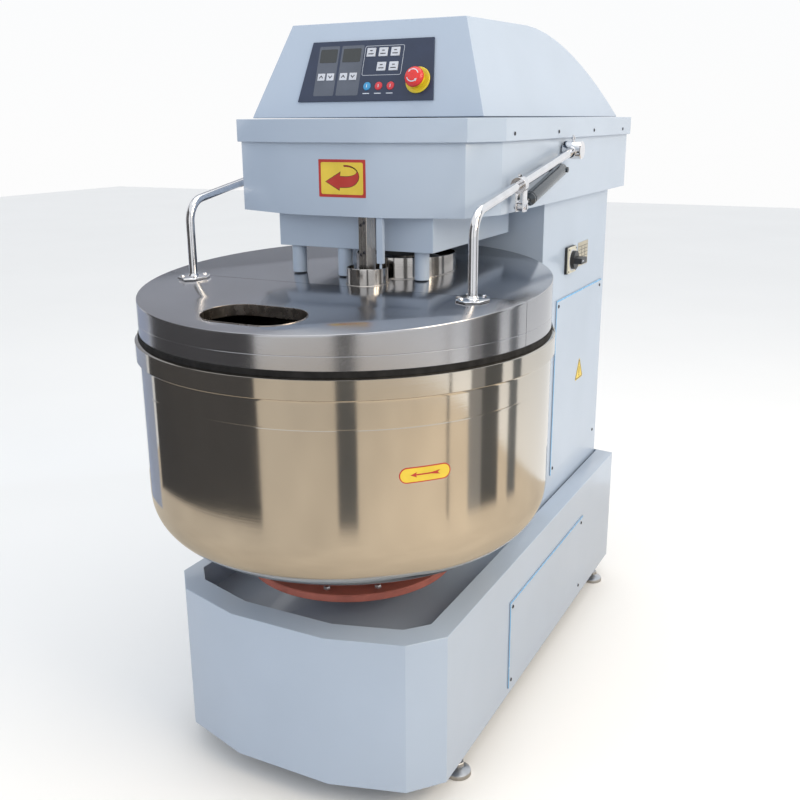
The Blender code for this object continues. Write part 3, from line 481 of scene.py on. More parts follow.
def curved_patch(name, outline, place, lift, thickness, material):
    """A thin sticker on the bowl's wall: the outline is (distance round, height) from its centre, and the
    place is the bowl's middle, the wall's radius, the sticker's height and its angle."""
    middle, radius, z_mid, angle_mid = place
    bm = bmesh.new()
    bm.faces.new([bm.verts.new((u, v, 0)) for u, v in outline])
    span = max(abs(u) for u, _ in outline)
    cell = 0.004
    cuts = int(2 * span / cell)
    for index in range(1, cuts):
        everything = bm.verts[:] + bm.edges[:] + bm.faces[:]
        bmesh.ops.bisect_plane(bm, geom=everything, plane_co=(-span + index * 2 * span / cuts, 0, 0),
                               plane_no=(1, 0, 0))
    raise_faces(bm, thickness)
    for vert in bm.verts:
        reach = radius + lift + vert.co.z
        angle = angle_mid + vert.co.x / radius
        vert.co = Vector((middle.x + reach * cos(angle), middle.y + reach * sin(angle), z_mid + vert.co.y))
    turn_outwards(bm)
    add_piece(name, bm, material, "bowl")


def raise_faces(bm, height):
    """Extrude all faces upwards."""
    grown = bmesh.ops.extrude_face_region(bm, geom=bm.faces[:])
    top = [part for part in grown["geom"] if isinstance(part, bmesh.types.BMVert)]
    bmesh.ops.translate(bm, verts=top, vec=(0, 0, height))


def arrow_outline(length, shaft, head_length, head_width, tail):
    """An arrow with a flared tail that points along -X, centred on the origin, counter-clockwise."""
    half = length / 2
    neck = -half + head_length
    notch = neck - head_length * 0.15
    return [(-half, 0), (neck, -head_width / 2), (notch, -shaft / 2), (half - tail, -shaft / 2),
            (half, -head_width * 0.42), (half - tail * 0.3, 0), (half, head_width * 0.42), (half - tail, shaft / 2),
            (notch, shaft / 2), (neck, head_width / 2)]


def make_bowl_sticker(middle, wall_radius):
    """A capsule-shaped direction sticker, yellow with a red border and a red arrow."""
    place = (middle, wall_radius, 0.748, radians(-41.6))
    curved_patch("bowl_sticker_border", plate(0.0485, 0.0145, 0.0144, 8), place, 0.0001, 0.0003, STICKER_RED)
    curved_patch("bowl_sticker", plate(0.0465, 0.0125, 0.0124, 8), place, 0.0002, 0.0004, STICKER_YELLOW)
    arrow = arrow_outline(0.056, 0.0026, 0.012, 0.01, 0.017)
    curved_patch("bowl_sticker_arrow", arrow, place, 0.0004, 0.0004, STICKER_RED)


# ---------------- lid
LID_SLOPE = 0.0697          # the lid's top plane rises towards the rear
STAINLESS = 0.002
LID_MIDDLE = centre("bowl")
LID_LOW, LID_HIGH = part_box("lid_front")
LID_RADIUS = (LID_HIGH.x - LID_LOW.x) / 2
LID_BOTTOM = LID_LOW.z
LID_SEAM = (LID_HIGH.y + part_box("lid_rear")[0].y) / 2
LID_MID_TOP = LID_BOTTOM + 0.0889
WINDOW = ((-0.0545, -0.622), (0.0305, -0.622))      # ends of the feed window's middle line
WINDOW_RADIUS = 0.062
BAR = centre("breaker_bar")


def lid_top(y):
    return LID_MID_TOP + LID_SLOPE * (y - LID_MIDDLE.y)


def stadium(ends, radius, steps=20):
    left, right = ends
    return arc(*left, radius, 90, 270, steps) + arc(*right, radius, -90, 90, steps)


def subtract(piece, *holes):
    """Cut holes, each a name, an outline and two heights, out of a piece."""
    tools = []
    for name, outline, low, high in holes:
        bm = bmesh.new()
        bm.faces.new([bm.verts.new((x, y, low)) for x, y in outline])
        raise_faces(bm, high - low)
        turn_outwards(bm)
        tools.append(new_object(name, bm))
        modifier = piece.modifiers.new("cut", "BOOLEAN")
        modifier.operation = "DIFFERENCE"
        modifier.solver = "EXACT"
        modifier.object = tools[-1]
    bpy.context.view_layer.update()
    graph = bpy.context.evaluated_depsgraph_get()
    mesh = bpy.data.meshes.new_from_object(piece.evaluated_get(graph))
    piece.modifiers.clear()
    piece.data = mesh
    for tool in tools:
        bpy.data.objects.remove(tool, do_unlink=True)


def lid_half(name, front):
    """One part of the lid: side wall with a pressed line and a small radius under the sloping top."""
    bm = bmesh.new()

    def loop(radius, height):
        corners = circle(0, LID_MIDDLE.y, radius, ROUND)
        return [bm.verts.new((x, y, height(y))) for x, y in corners]

    edge, inner = 0.0022, LID_RADIUS - STAINLESS
    foot = ((0, 0.0004), (0, 0.024), (0, 0.025), (0.0005, 0.0256), (0.0005, 0.0262), (0, 0.0268), (0, 0.0278))
    shoulder = ((0, edge + 0.0015), (0, edge), (0.3 * edge, 0.3 * edge), (edge, 0))
    outside = [loop(LID_RADIUS - inset, lambda y: LID_BOTTOM + rise) for inset, rise in foot]
    outside += [loop(LID_RADIUS - inset, lambda y: lid_top(y) - drop) for inset, drop in shoulder]
    inside = [loop(inner, lambda y: lid_top(y) - STAINLESS), loop(inner, lambda y: LID_BOTTOM + 0.0004)]
    for group in (outside, inside, [inside[-1], outside[0]]):
        skin(bm, group)
    bm.faces.new(outside[-1])
    bm.faces.new(inside[0][::-1])
    seam = LID_SEAM + (-0.0006 if front else 0.0006)
    everything = bm.verts[:] + bm.edges[:] + bm.faces[:]
    bmesh.ops.bisect_plane(bm, geom=everything, plane_co=(0, seam, 0), plane_no=(0, 1, 0), clear_outer=front,
                           clear_inner=not front)
    bmesh.ops.holes_fill(bm, edges=[line for line in bm.edges if line.is_boundary], sides=0)
    turn_outwards(bm)
    return add_piece(name, bm, LID_STEEL, "lid" if front else "machine", 30)


def band_wall(name, inner, outer, low, high, material, body="machine"):
    """A thin upright band with a softened lip between two outlines; low and high give its edges for each y."""
    bm = bmesh.new()
    lip = 0.0006

    def below(y):
        return high(y) - lip

    def between(share):
        return [(a[0] * (1 - share) + b[0] * share, a[1] * (1 - share) + b[1] * share)
                for a, b in zip(outer, inner)]

    loops = []
    for outline, side, height in ((outer, outer, low), (outer, outer, below), (between(0.25), outer, high),
                                  (between(0.75), inner, high), (inner, inner, below), (inner, inner, low)):
        loops.append([bm.verts.new((x, y, height(side_y))) for (x, y), (_, side_y) in zip(outline, side)])
    skin(bm, loops + loops[:1])
    turn_outwards(bm)
    return add_piece(name, bm, material, body, 30)


def make_lid():
    """Front and rear part with the feed window, the two collars and the welds round them."""
    front = lid_half("lid_front_finish", True)
    subtract(front, ("window_cut", stadium(WINDOW, WINDOW_RADIUS + 0.0004), 0.9, 1.1))
    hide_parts("lid_front")
    band_wall("window_collar", stadium(WINDOW, WINDOW_RADIUS - 0.001), stadium(WINDOW, WINDOW_RADIUS + 0.0004),
              lambda y: lid_top(y) - 0.02, lambda y: lid_top(y) + 0.0012, EDGE_STEEL, "lid")
    rear = lid_half("lid_rear_finish", False)
    hook, _ = joint_place("spiral_spin")
    subtract(rear, ("spiral_cut", circle(hook.x, hook.y, 0.085), 0.9, 1.1),
             ("bar_cut", circle(BAR.x, BAR.y, 0.038), 0.9, 1.1))
    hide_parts("lid_rear")

    def collar(name, axis, inner, outer, steps, low, high, material):
        return band_wall(name, circle(axis.x, axis.y, inner, steps), circle(axis.x, axis.y, outer, steps),
                         lambda y: lid_top(y) + low, high, material)

    big = collar("spiral_collar", hook, 0.1025, 0.105, 96, -0.0002, lambda y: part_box("lid_rear")[1].z,
                 LID_SIDE_STEEL)
    small = collar("bar_collar", BAR, 0.0395, 0.042, 48, -0.0002, lambda y: 1.057, LID_SIDE_STEEL)
    opening = rectangle(BAR.x - 0.06, BAR.y + 0.012, BAR.x + 0.06, BAR.y + 0.06)
    subtract(small, ("collar_opening", opening, 1.0, 1.1))
    for piece in (big, small):
        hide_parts("lid_rear")
    for label, axis, radius in (("spiral", hook, 0.105), ("bar", BAR, 0.042)):
        collar(f"{label}_collar_weld", axis, radius - 0.0001, radius + 0.0022, 96, -0.0002,
               lambda y: lid_top(y) + 0.0018, TOOL_STEEL)


def make_seal():
    """Black lip seal between the lid's foot and the bowl's rim, in the fixed and the swinging part."""
    low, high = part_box("bowl")[1].z + 0.0003, LID_BOTTOM + 0.0002
    outer, inner = LID_RADIUS + 0.0022, LID_RADIUS - 0.009
    tilt = degrees(asin((LID_SEAM - LID_MIDDLE.y) / outer))
    steps, slit = 120, 0.1              # the slit is in degrees, between the two parts
    for name, body, first, last in (("seal_front", "lid", 180 - tilt, 360 + tilt),
                                    ("seal_rear", "machine", tilt + slit, 180 - tilt - slit)):
        bm = bmesh.new()
        rims = [(arc(0, LID_MIDDLE.y, radius, first, last, steps), z)
                for radius, z in ((outer, low), (outer, high), (inner, high), (inner, low))]
        loops = [[bm.verts.new((*rim[index], z)) for rim, z in rims] for index in range(steps + 1)]
        skin(bm, loops)
        bm.faces.new(loops[0])
        bm.faces.new(loops[-1][::-1])
        turn_outwards(bm)
        add_piece(name, bm, SEAL, body)


# ---------------- lid arms, clamps and struts
ARM_RADIUS = 0.009
ARM_Y = -0.404              # upright part of the arm
ARM_CORNER_Z = 1.176
ARM_BEND = 0.048
EYE_RADIUS = 0.0085         # of the strut rod's eye
BOLT_STEPS = 6              # a hexagon head


def arm_line(pivot, x):
    """Centre line of a lid arm from its boss to its flange, with a fine bend."""
    along = Vector((pivot.y - ARM_Y, pivot.z - ARM_CORNER_Z)).normalized()
    reach = ARM_BEND * tan((pi / 2 - atan((pivot.z - ARM_CORNER_Z) / (pivot.y - ARM_Y))) / 2)
    start = Vector((ARM_Y, ARM_CORNER_Z)) + along * reach
    middle = Vector((ARM_Y + ARM_BEND, ARM_CORNER_Z - reach))
    first = degrees(atan2(start.y - middle.y, start.x - middle.x))
    points = [(pivot.y, pivot.z), tuple(start)] + arc(*middle, ARM_BEND, first, 180, 20)[1:]
    points.append((ARM_Y, lid_top(ARM_Y) + 0.003))
    return [Vector((x, y, z)) for y, z in points], Vector((0, *along))


def bolt_profile(radius, height):
    """A hexagon head's outline: flat top with a small chamfer."""
    return [(0, height), (radius * 0.8, height), (radius, height * 0.82), (radius, 0), (0, 0)]


def chrome(name, profile, matrix, steps, closed=False, body="lid"):
    return turned(name, profile, matrix, CHROME, body, steps, closed)


def make_arm(side, label):
    """A lid arm: tube, pivot boss with its set screw, socket ring, and a welded and bolted flange."""
    pivot, _ = joint_place("lid_hinge")
    x = centre("strut_clamp_" + label).x
    line, along = arm_line(pivot, x)
    arm = add_piece(f"arm_{label}_finish", tube_mesh(line, ARM_RADIUS), CHROME, "lid", 40)
    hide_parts("lid_arm_" + label)
    outer, inner = abs(x) + 0.021, 0.2967
    boss = [(0, outer - 0.0008), (0.012, outer - 0.0008), (0.0185, outer - 0.0006), (0.02, outer - 0.0022),
            (0.02, inner + 0.0018), (0.0185, inner), (0, inner)]
    chrome(f"arm_boss_{label}", boss, facing((0, pivot.y, pivot.z), (side, 0, 0)), 48)
    ring = [(0.0118, 0.004), (0.0122, 0.003), (0.0122, -0.003), (0.0118, -0.004), (0.006, -0.004), (0.006, 0.004)]
    socket = Vector((x, pivot.y, pivot.z)) - along * 0.024
    chrome(f"arm_socket_{label}", ring, facing(socket, along), 32, True)
    stem = [(0, 0.0135), (0.0024, 0.0135), (0.0024, 0.0095), (0.005, 0.0092), (0.005, 0.004), (0.003, 0.0035),
            (0.003, -0.002), (0, -0.002)]
    set_screw = Vector((side * (abs(x) - 0.002), pivot.y, 0))
    chrome(f"arm_set_screw_{label}", stem, upright(set_screw, pivot.z + 0.0195), 12)
    tilt = Vector((0, -LID_SLOPE, 1)).normalized()
    foot = Vector((x, ARM_Y, lid_top(ARM_Y) + 0.0006))
    flange = [(0, 0.0048), (0.0315, 0.0048), (0.0335, 0.0036), (0.0338, 0.0012), (0.033, 0.0002), (0, 0.0002)]
    flat = facing(foot, tilt, (0, 1, 0))
    chrome(f"arm_flange_{label}", flange, flat, 8)
    weld = [(ARM_RADIUS, 0.0095), (ARM_RADIUS + 0.0016, 0.007), (ARM_RADIUS + 0.0032, 0.0048),
            (ARM_RADIUS, 0.0046)]
    chrome(f"arm_weld_{label}", weld, flat, 32, True)
    bolt_circle = 0.0235
    for index, (bolt_x, bolt_y) in enumerate(arc(0, 0, bolt_circle, 45, 315, 3), 1):
        place = foot + tilt * 0.0046 + Vector((bolt_x, bolt_y, LID_SLOPE * bolt_y))
        chrome(f"flange_bolt_{label}_{index}", bolt_profile(0.004, 0.003), facing(place, tilt, (0, 1, 0)),
               BOLT_STEPS)


def rod_pin(label):
    """Where the strut rod's eye turns on the clamp's lugs."""
    low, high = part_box("strut_rod_" + label)
    return Vector(((low.x + high.x) / 2, low.y + EYE_RADIUS, low.z + EYE_RADIUS))


def make_clamp(side, label):
    rounded_copy("strut_clamp_" + label, CHROME, 0.0007)
    pin = rod_pin(label)
    for face in (1, -1):
        matrix = facing((pin.x + face * 0.009, pin.y, pin.z), (face, 0, 0))
        chrome(f"lug_bolt_{label}_{'out' if face * side > 0 else 'in'}", bolt_profile(0.0062, 0.0048), matrix,
               BOLT_STEPS)
    low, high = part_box("strut_clamp_" + label)
    place = Vector((pin.x, (low.y + high.y) / 2 - 0.004, 0))
    chrome(f"clamp_screw_{label}", bolt_profile(0.0042, 0.004), upright(place, high.z - 0.001), BOLT_STEPS)


def make_strut(side, label):
    """A gas strut: body with a crimped front end, stud and cap at the rear, bright rod and eye."""
    pin = rod_pin(label)
    place, _ = joint_place(f"strut_{label}_swing")
    rear = Vector((pin.x, place.y, place.z))
    matrix = facing(rear, pin - rear, (1, 0, 0))
    radius, length = 0.014, 0.215
    crimp = radius - 0.0015
    shell = [(0, length - 0.0005), (0.0062, length - 0.0005), (0.0095, length - 0.003),
             (radius - 0.0004, length - 0.006), (radius - 0.0004, length - 0.01), (crimp, length - 0.0115),
             (crimp, length - 0.013), (radius, length - 0.0145), (radius, 0.004), (radius - 0.0012, -0.003),
             (0.0095, -0.0085), (0, -0.0098)]
    body = turned(f"strut_{label}_shell", shell, matrix, STRUT, "strut_" + label, 40)
    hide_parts("strut_body_" + label)
    span = abs(pin.x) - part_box("head_shell")[1].x - 0.0008
    stud = [(0, span), (0.0085, span), (0.0085, span - 0.003), (0.0055, span - 0.004), (0.0055, 0), (0, 0)]
    turned(f"strut_{label}_stud", stud, facing(rear, (-side, 0, 0)), STRUT, "strut_" + label, 24)
    cap = [(0, 0.0165), (0.004, 0.0165), (0.0062, 0.0155), (0.0062, 0), (0, 0)]
    turned(f"strut_{label}_cap", cap, facing(rear, (side, 0, 0)), STRUT, "strut_" + label, 24)
    rod_end = (pin - rear).length - 0.004
    rod_radius = 0.0048
    rod = [(0, rod_end), (rod_radius, rod_end), (rod_radius, 0.023), (0, 0.023)]
    piece = chrome(f"strut_{label}_rod", rod, matrix, 24, body="strut_rod_" + label)
    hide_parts("strut_rod_" + label)
    eye = [(0.004, 0.0055), (0.0078, 0.0055), (0.0084, 0.0048), (0.0084, -0.0048), (0.0078, -0.0055),
           (0.004, -0.0055)]
    chrome(f"strut_{label}_eye", eye, facing(pin, (1, 0, 0)), 32, True, "strut_rod_" + label)


def make_arms():
    for side, label in ((-1, "left"), (1, "right")):
        make_arm(side, label)
        make_clamp(side, label)
        make_strut(side, label)


# ---------------- posts, breaker bar, feet
def make_posts():
    for node in ("post_left_front", "post_middle_front", "post_right_front", "post_rear"):
        low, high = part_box(node)
        profile = [(0, high.z), (0.015, high.z), (0.015, low.z + 0.0012), (0.014, low.z), (0, low.z)]
        post = turned(node + "_finish", profile, upright(centre(node)), ENAMEL, steps=40)
        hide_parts(node)


def make_breaker_bar():
    """The flat bar beside the spiral, with two pairs of screws in its face."""
    rounded_copy("breaker_bar", TOOL_STEEL, 0.0012)
    turn, half_thickness = radians(-20), 0.0121
    face = Vector((sin(turn), -cos(turn), 0))
    across = Vector((cos(turn), sin(turn), 0))
    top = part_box("hub_housing")[1].z - 0.014
    profile = [(0, 0.0016), (0.0026, 0.0016), (0.0034, 0.0008), (0.0034, 0), (0, 0)]
    for number, height in enumerate((top, top - 0.058), 1):
        for label, offset in (("left", -0.0048), ("right", 0.0048)):
            place = Vector((BAR.x, BAR.y, height + offset * 0.5)) + face * half_thickness + across * offset
            turned(f"bar_screw_{number}_{label}", profile, facing(place, face), SCREW_DARK, steps=12)


def make_feet():
    """Levelling feet: round pad, lock nut and threaded stem."""
    pad = [(0, 0.0155), (0.0075, 0.0155), (0.0095, 0.0145), (0.024, 0.0115), (0.0272, 0.0095), (0.028, 0.007),
           (0.028, 0.0008), (0.0272, 0), (0, 0)]
    nut = [(0, 0.03), (0.0118, 0.03), (0.0135, 0.0285), (0.0135, 0.0205), (0.0118, 0.019), (0, 0.019)]
    crest, root, pitch = 0.008, 0.0072, 0.002
    for node in ("foot_front_left", "foot_front_right", "foot_rear_left", "foot_rear_right"):
        place = upright(centre(node))
        piece = turned(node + "_pad", pad, place, ZINC, steps=48)
        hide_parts(node)
        turned(node + "_nut", nut, place, ZINC, steps=BOLT_STEPS)
        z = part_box(node)[1].z
        stem = [(0, z)]
        while z > 0.0165:
            stem += [(crest, z), (root, z - pitch / 2)]
            z -= pitch
        stem.append((0, z))
        turned(node + "_thread", stem, place, ZINC, steps=24)


# ---------------- control panel
def face_frame():
    """A frame on the hood's front face: X across, Y up the slope, Z outwards."""
    _, inwards = joint_place("stop_push")
    out = -inwards
    across = Vector((1, 0, 0))
    turn = Matrix((across, out.cross(across), out)).transposed().to_4x4()
    return Matrix.Translation((0, -0.239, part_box("head_rim")[1].z)) @ turn


FACE = face_frame()
PRINT_BACK = 0.0031         # heights are above the hood's face
PRINT = 0.0004
KEY_FRONT = 0.0046
STOP_CAP = ((0, 0.0315), (0.0095, 0.031), (0.0165, 0.0288), (0.02, 0.024))      # the mushroom's top
SMALL_BAR = rectangle(-0.006, -0.0009, 0.006, 0.0009, 0.0005)
CHEVRON = [(-0.0048, -0.002), (-0.0034, -0.003), (0, 0.001), (0.0034, -0.003), (0.0048, -0.002), (0, 0.0036)]


def on_face(x, y):
    return FACE @ Matrix.Translation((x, y, 0))


def face_place(node):
    return FACE.inverted() @ centre(node)


def printed(name, outline, material, place=(0, 0), lift=0.0):
    """A thin printed or stuck layer on the fascia."""
    slab(name, outline, PRINT_BACK, PRINT_BACK + PRINT + lift, on_face(*place), material)


def make_fascia():
    """The dark film with two grey strips, two displays, a line round the keys, and the keys."""
    rounded_copy("control_fascia", NAVY, 0.0005, segments=2)
    printed("left_strip", rectangle(-0.1205, 0.0465, -0.0725, 0.1505, 0.003), GREY_PRINT)
    printed("right_strip", rectangle(-0.067, 0.0465, -0.015, 0.1505, 0.003), GREY_PRINT)
    printed("left_display", rectangle(-0.1165, 0.116, -0.0765, 0.144, 0.002), DISPLAY, lift=0.0003)
    printed("right_display", rectangle(-0.0625, 0.116, -0.021, 0.144, 0.002), DISPLAY, lift=0.0003)
    line = 0.0008
    outer = rectangle(-0.012, 0.087, 0.077, 0.148, 0.004)
    inner = rectangle(-0.012 + line, 0.087 + line, 0.077 - line, 0.148 - line, 0.004 - line)
    ring_plate("key_frame", outer, inner, PRINT_BACK, PRINT_BACK + PRINT + 0.0001, FACE, PALE_PRINT)
    make_keys()


def key_mark(key, mark, outline, material=SCREW_DARK, angle=0.0):
    """A small raised print on a key cap, riding with the key."""
    place = face_place(key)
    matrix = on_face(place.x, place.y) @ Matrix.Rotation(angle, 4, "Z")
    slab(f"{key}_{mark}", outline, KEY_FRONT - 0.0001, KEY_FRONT + 0.0003, matrix, material, key)


def make_keys():
    for number in range(1, 6):
        key = f"square_key_{number}"
        rounded_copy(key, KEY_WHITE, 0.0007, segments=2)
        key_mark(key, "line", [(x, y - 0.0035) for x, y in SMALL_BAR])
        key_mark(key, "dot", [(x * 0.5, y + 0.003) for x, y in SMALL_BAR])
    for number in range(1, 5):
        key = f"arrow_key_{number}"
        rounded_copy(key, KEY_WHITE, 0.0007, segments=2)
        key_mark(key, "chevron", CHEVRON, angle=0 if number % 2 else pi)
    cap = [(0, KEY_FRONT), (0.0068, KEY_FRONT), (0.008, KEY_FRONT - 0.0004), (0.0085, KEY_FRONT - 0.0012),
           (0.0085, 0.0016), (0, 0.0016)]
    for number, material in ((1, KEY_BLUE), (2, KEY_RED), (3, KEY_RED)):
        key = f"round_key_{number}"
        place = face_place(key)
        piece = turned(key + "_finish", cap, on_face(place.x, place.y), material, key, 40)
        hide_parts(key)
        key_mark(key, "stroke", plate(0.0008, 0.0032, 0.0004), PALE_PRINT)
        printed(f"{key}_caption", plate(0.0075, 0.0009, 0.0004), PALE_PRINT, (place.x, place.y - 0.015))


def make_stop():
    """Emergency stop: yellow base disc and red mushroom with two turn arrows."""
    place = face_place("stop_button")
    matrix = on_face(place.x, place.y)
    back = 0.0036
    disc = [(0.015, back + 0.0032), (0.025, back + 0.0032), (0.0263, back + 0.0022), (0.0265, back + 0.001),
            (0.026, back), (0.013, back), (0.013, 0.0125), (0.015, 0.0125)]
    base = turned("stop_base_finish", disc, matrix, STOP_YELLOW, closed=True)
    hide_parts("stop_base")
    cap = rounded_profile([*STOP_CAP, (0.02, 0.0185), (0.012, 0.0178), (0.0118, 0.0092), (0, 0.0092)], 0.0018)
    button = turned("stop_button_finish", cap, matrix, STOP_RED, "stop_button")
    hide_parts("stop_button")
    for number, start in enumerate((20, 200), 1):
        turn_arrow(f"stop_arrow_{number}", matrix, radians(start))


def cap_height(radius):
    """Height of the mushroom's top over the fascia at a radius."""
    for (r0, z0), (r1, z1) in zip(STOP_CAP, STOP_CAP[1:]):
        if radius <= r1:
            return z0 + (z1 - z0) * (radius - r0) / (r1 - r0)
    return STOP_CAP[-1][1]


def turn_arrow(name, matrix, start):
    """A pale curved arrow on the mushroom's top."""
    inner, outer, barb = 0.0112, 0.0132, 0.0018
    sweep, head = radians(105), radians(24)
    steps, below, above = 14, -0.0002, 0.0003
    rows = [(inner, outer, start + sweep * index / steps) for index in range(steps + 1)]
    rows.append((inner - barb, outer + barb, start + sweep))
    rows.append(((inner + outer) / 2, (inner + outer) / 2, start + sweep + head))
    bm = bmesh.new()
    loops = [[bm.verts.new((radius * cos(angle), radius * sin(angle), cap_height(radius) + lift))
              for radius, lift in ((near, below), (far, below), (far, above), (near, above))]
             for near, far, angle in rows]
    skin(bm, loops)
    bm.faces.new(loops[0][::-1])
    bm.faces.new(loops[-1])
    bmesh.ops.remove_doubles(bm, verts=bm.verts, dist=0.00001)
    turn_outwards(bm)
    bmesh.ops.transform(bm, matrix=matrix, verts=bm.verts)
    add_piece(name, bm, PALE_PRINT, "stop_button")


# ---------------- stickers, switch, film edges
def make_direction_sign():
    """Yellow sign with a red border and a bent, black-edged red arrow on the head's front face."""
    low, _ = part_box("head_shell")
    matrix = facing((0.0185, low.y - 0.00005, 1.229), (0, -1, 0))
    half_w, half_h, border = 0.0527, 0.036, 0.0055
    slab("sign_border", plate(half_w, half_h, 0.0012), 0, 0.00035, matrix, STICKER_RED)
    slab("sign_field", plate(half_w - border, half_h - border, 0.0035), 0.0001, 0.0007, matrix, STICKER_YELLOW)
    bent_arrow("sign_arrow_edge", matrix, 0.0009, 0.0009, STICKER_BLACK)
    bent_arrow("sign_arrow", matrix, 0.0, 0.0011, STICKER_RED)


def bent_arrow(name, matrix, grow, high, material):
    """A thick arrow to the left whose tail bends up round the right and thins out; grow widens it all round."""
    middle_x, low, steps = 0.008, 0.0003, 20
    outer, inner = [], []
    for index in range(steps + 1):
        angle = radians(-90 + 187 * index / steps)
        outer.append((middle_x + (0.03 + grow) * cos(angle), 0.004 + (0.0208 + grow) * sin(angle)))
        inner.append((middle_x + (0.0262 - grow) * cos(angle), 0.0133 + (0.0098 - grow) * sin(angle)))
    head = [(-0.004, 0.0038 + grow), (-0.0034 + grow, 0.0115 + 2 * grow), (-0.036 - 2 * grow, -0.0064),
            (-0.0064 + grow, -0.0217 - 2 * grow), (-0.005, -0.0168 - grow)]
    slab(name, outer + inner[::-1] + head, low, high, matrix, material)


def make_switch():
    """Rotary main switch: black gasket, pale face with four screws, dial and knob."""
    low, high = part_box("switch_plate")
    middle = (low + high) / 2
    half = (high.y - low.y) / 2
    depth = high.x - low.x
    matrix = facing((low.x, middle.y, middle.z), (1, 0, 0))
    gasket = slab("switch_gasket", plate(half, half, 0.004), 0, depth * 0.62, matrix, KNOB_BLACK, edge=0.0006)
    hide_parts("switch_plate")
    inset = 0.0012
    slab("switch_face", plate(half - inset, half - inset, 0.004), depth * 0.6, depth - 0.0002, matrix, BEIGE,
         edge=0.0008)
    slab("switch_dial", circle(0, 0, 0.0265), depth - 0.0003, depth + 0.0002, matrix, PALE_PRINT)
    for index, (x, y) in enumerate(arc(0, 0, 0.03822, 45, 315, 3), 1):
        screw(f"switch_screw_{index}", facing(matrix @ Vector((x, y, depth - 0.0003)), (1, 0, 0)), 0.0026)
    rounded_copy("switch_knob", KNOB_BLACK, 0.0016)
    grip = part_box("switch_knob")[1].x - low.x
    slab("knob_mark", rectangle(-0.0165, -0.0012, -0.004, 0.0012, 0.0006), grip - 0.0002, grip + 0.0003, matrix,
         PALE_PRINT, "switch_knob")


def make_rating_plate():
    """Blank metal rating plate with ruled lines, without text."""
    matrix = facing((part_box("column_shell")[1].x + 0.0001, 0.4375, 1.0025), (1, 0, 0))
    half_w, half_h, half_line = 0.043, 0.0305, 0.0005

    def ruled(name, *corners):
        slab(name, rectangle(*corners), 0.0008, 0.0012, matrix, SCREW_DARK)

    slab("rating_plate", plate(half_w, half_h, 0.0015), 0, 0.0009, matrix, PLATE_METAL)
    for number in range(6):
        y = half_h - 0.0105 - number * 0.009
        ruled(f"rating_line_{number + 1}", 0.004 - half_w, y - half_line, half_w - 0.004, y + half_line)
    for number, x in enumerate((-0.012, 0.016), 1):
        ruled(f"rating_column_{number}", x - half_line, 0.01 - half_h, x + half_line, half_h - 0.0105)


def rounded_triangle(size, radius, steps=5):
    """An upright triangle with rounded corners, counter-clockwise, centred on its centroid."""
    points = []
    for heading in (210, 330, 450):
        reach = size - 2 * radius
        x, y = reach * cos(radians(heading)), reach * sin(radians(heading))
        points += arc(x, y, radius, heading - 60, heading + 60, steps)
    return points


def make_warning_triangle():
    matrix = facing((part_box("column_panel")[1].x + 0.00005, 0.447, 0.683), (1, 0, 0))
    low, high = 0.0002, 0.0007          # of the black print
    slab("triangle_field", rounded_triangle(0.04, 0.004), 0, 0.0004, matrix, STICKER_YELLOW)
    ring_plate("triangle_line", rounded_triangle(0.036, 0.003), rounded_triangle(0.032, 0.0024), low, high,
               matrix, STICKER_BLACK)
    slab("triangle_bar", rectangle(-0.0018, -0.005, 0.0018, 0.014, 0.0012), low, high, matrix, STICKER_BLACK)
    slab("triangle_dot", circle(0, -0.0095, 0.0022, 16), low, high, matrix, STICKER_BLACK)


def make_film_edges():
    """Strips of blue protective film left along two edges of each side panel."""
    width, thick = 0.0042, 0.0004
    sideways = Matrix(((0, 0, 1, 0), (1, 0, 0, 0), (0, 1, 0, 0), (0, 0, 0, 1)))
    for label in ("base", "column"):
        low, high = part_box(f"{label}_panel")
        matrix = Matrix.Translation((high.x - 0.0001, 0, 0)) @ sideways
        foot = high.z - width
        slab(f"film_top_{label}", rectangle(low.y, foot, high.y, high.z), 0, thick, matrix, FILM_BLUE)
        slab(f"film_front_{label}", rectangle(low.y, low.z, low.y + width, foot), 0, thick, matrix, FILM_BLUE)


# ---------------- inner machinery
MACHINERY = (
    (MOTOR, "bowl_motor spiral_motor"),
    (IRON, "bowl_pulley bowl_motor_pulley spiral_pulley spiral_motor_pulley"),
    (IRON, "bowl_bearing_housing spiral_bearing_housing"),
    (BELT, "bowl_belt spiral_belt"),
    (ZINC, "lid_pivot_shaft"),
)


def make_machinery():
    for material, nodes in MACHINERY:
        for node in nodes.split():
            rounded_copy(node, material, 0.001, segments=2)


# ---------------- floor, light, camera
def stage_object(name, bm, colour, amount, scale, roughness):
    """Something of the studio, not of the part, with a slightly uneven colour."""
    thing = new_object(name, bm)
    tree = Tree(name)
    varied_colour(tree, colour, amount, scale)
    tree.set(Roughness=roughness)
    thing.data.materials.append(tree.material)
    return thing


def make_floor():
    bm = bmesh.new()
    bmesh.ops.create_grid(bm, x_segments=1, y_segments=1, size=14)
    floor = stage_object("floor", bm, (0.86, 0.86, 0.86), 0.01, 0.8, 0.75)
    floor.location.z = -0.0005


def area_light(name, place, target, size, power, colour=(1, 1, 1)):
    data = bpy.data.lights.new(name, "AREA")
    data.shape = "RECTANGLE"
    data.size, data.size_y = size
    data.energy = power
    data.color = colour
    light = bpy.data.objects.new(name, data)
    light.location = place
    light.rotation_euler = (Vector(target) - Vector(place)).to_track_quat("-Z", "Y").to_euler()
    bpy.context.scene.collection.objects.link(light)


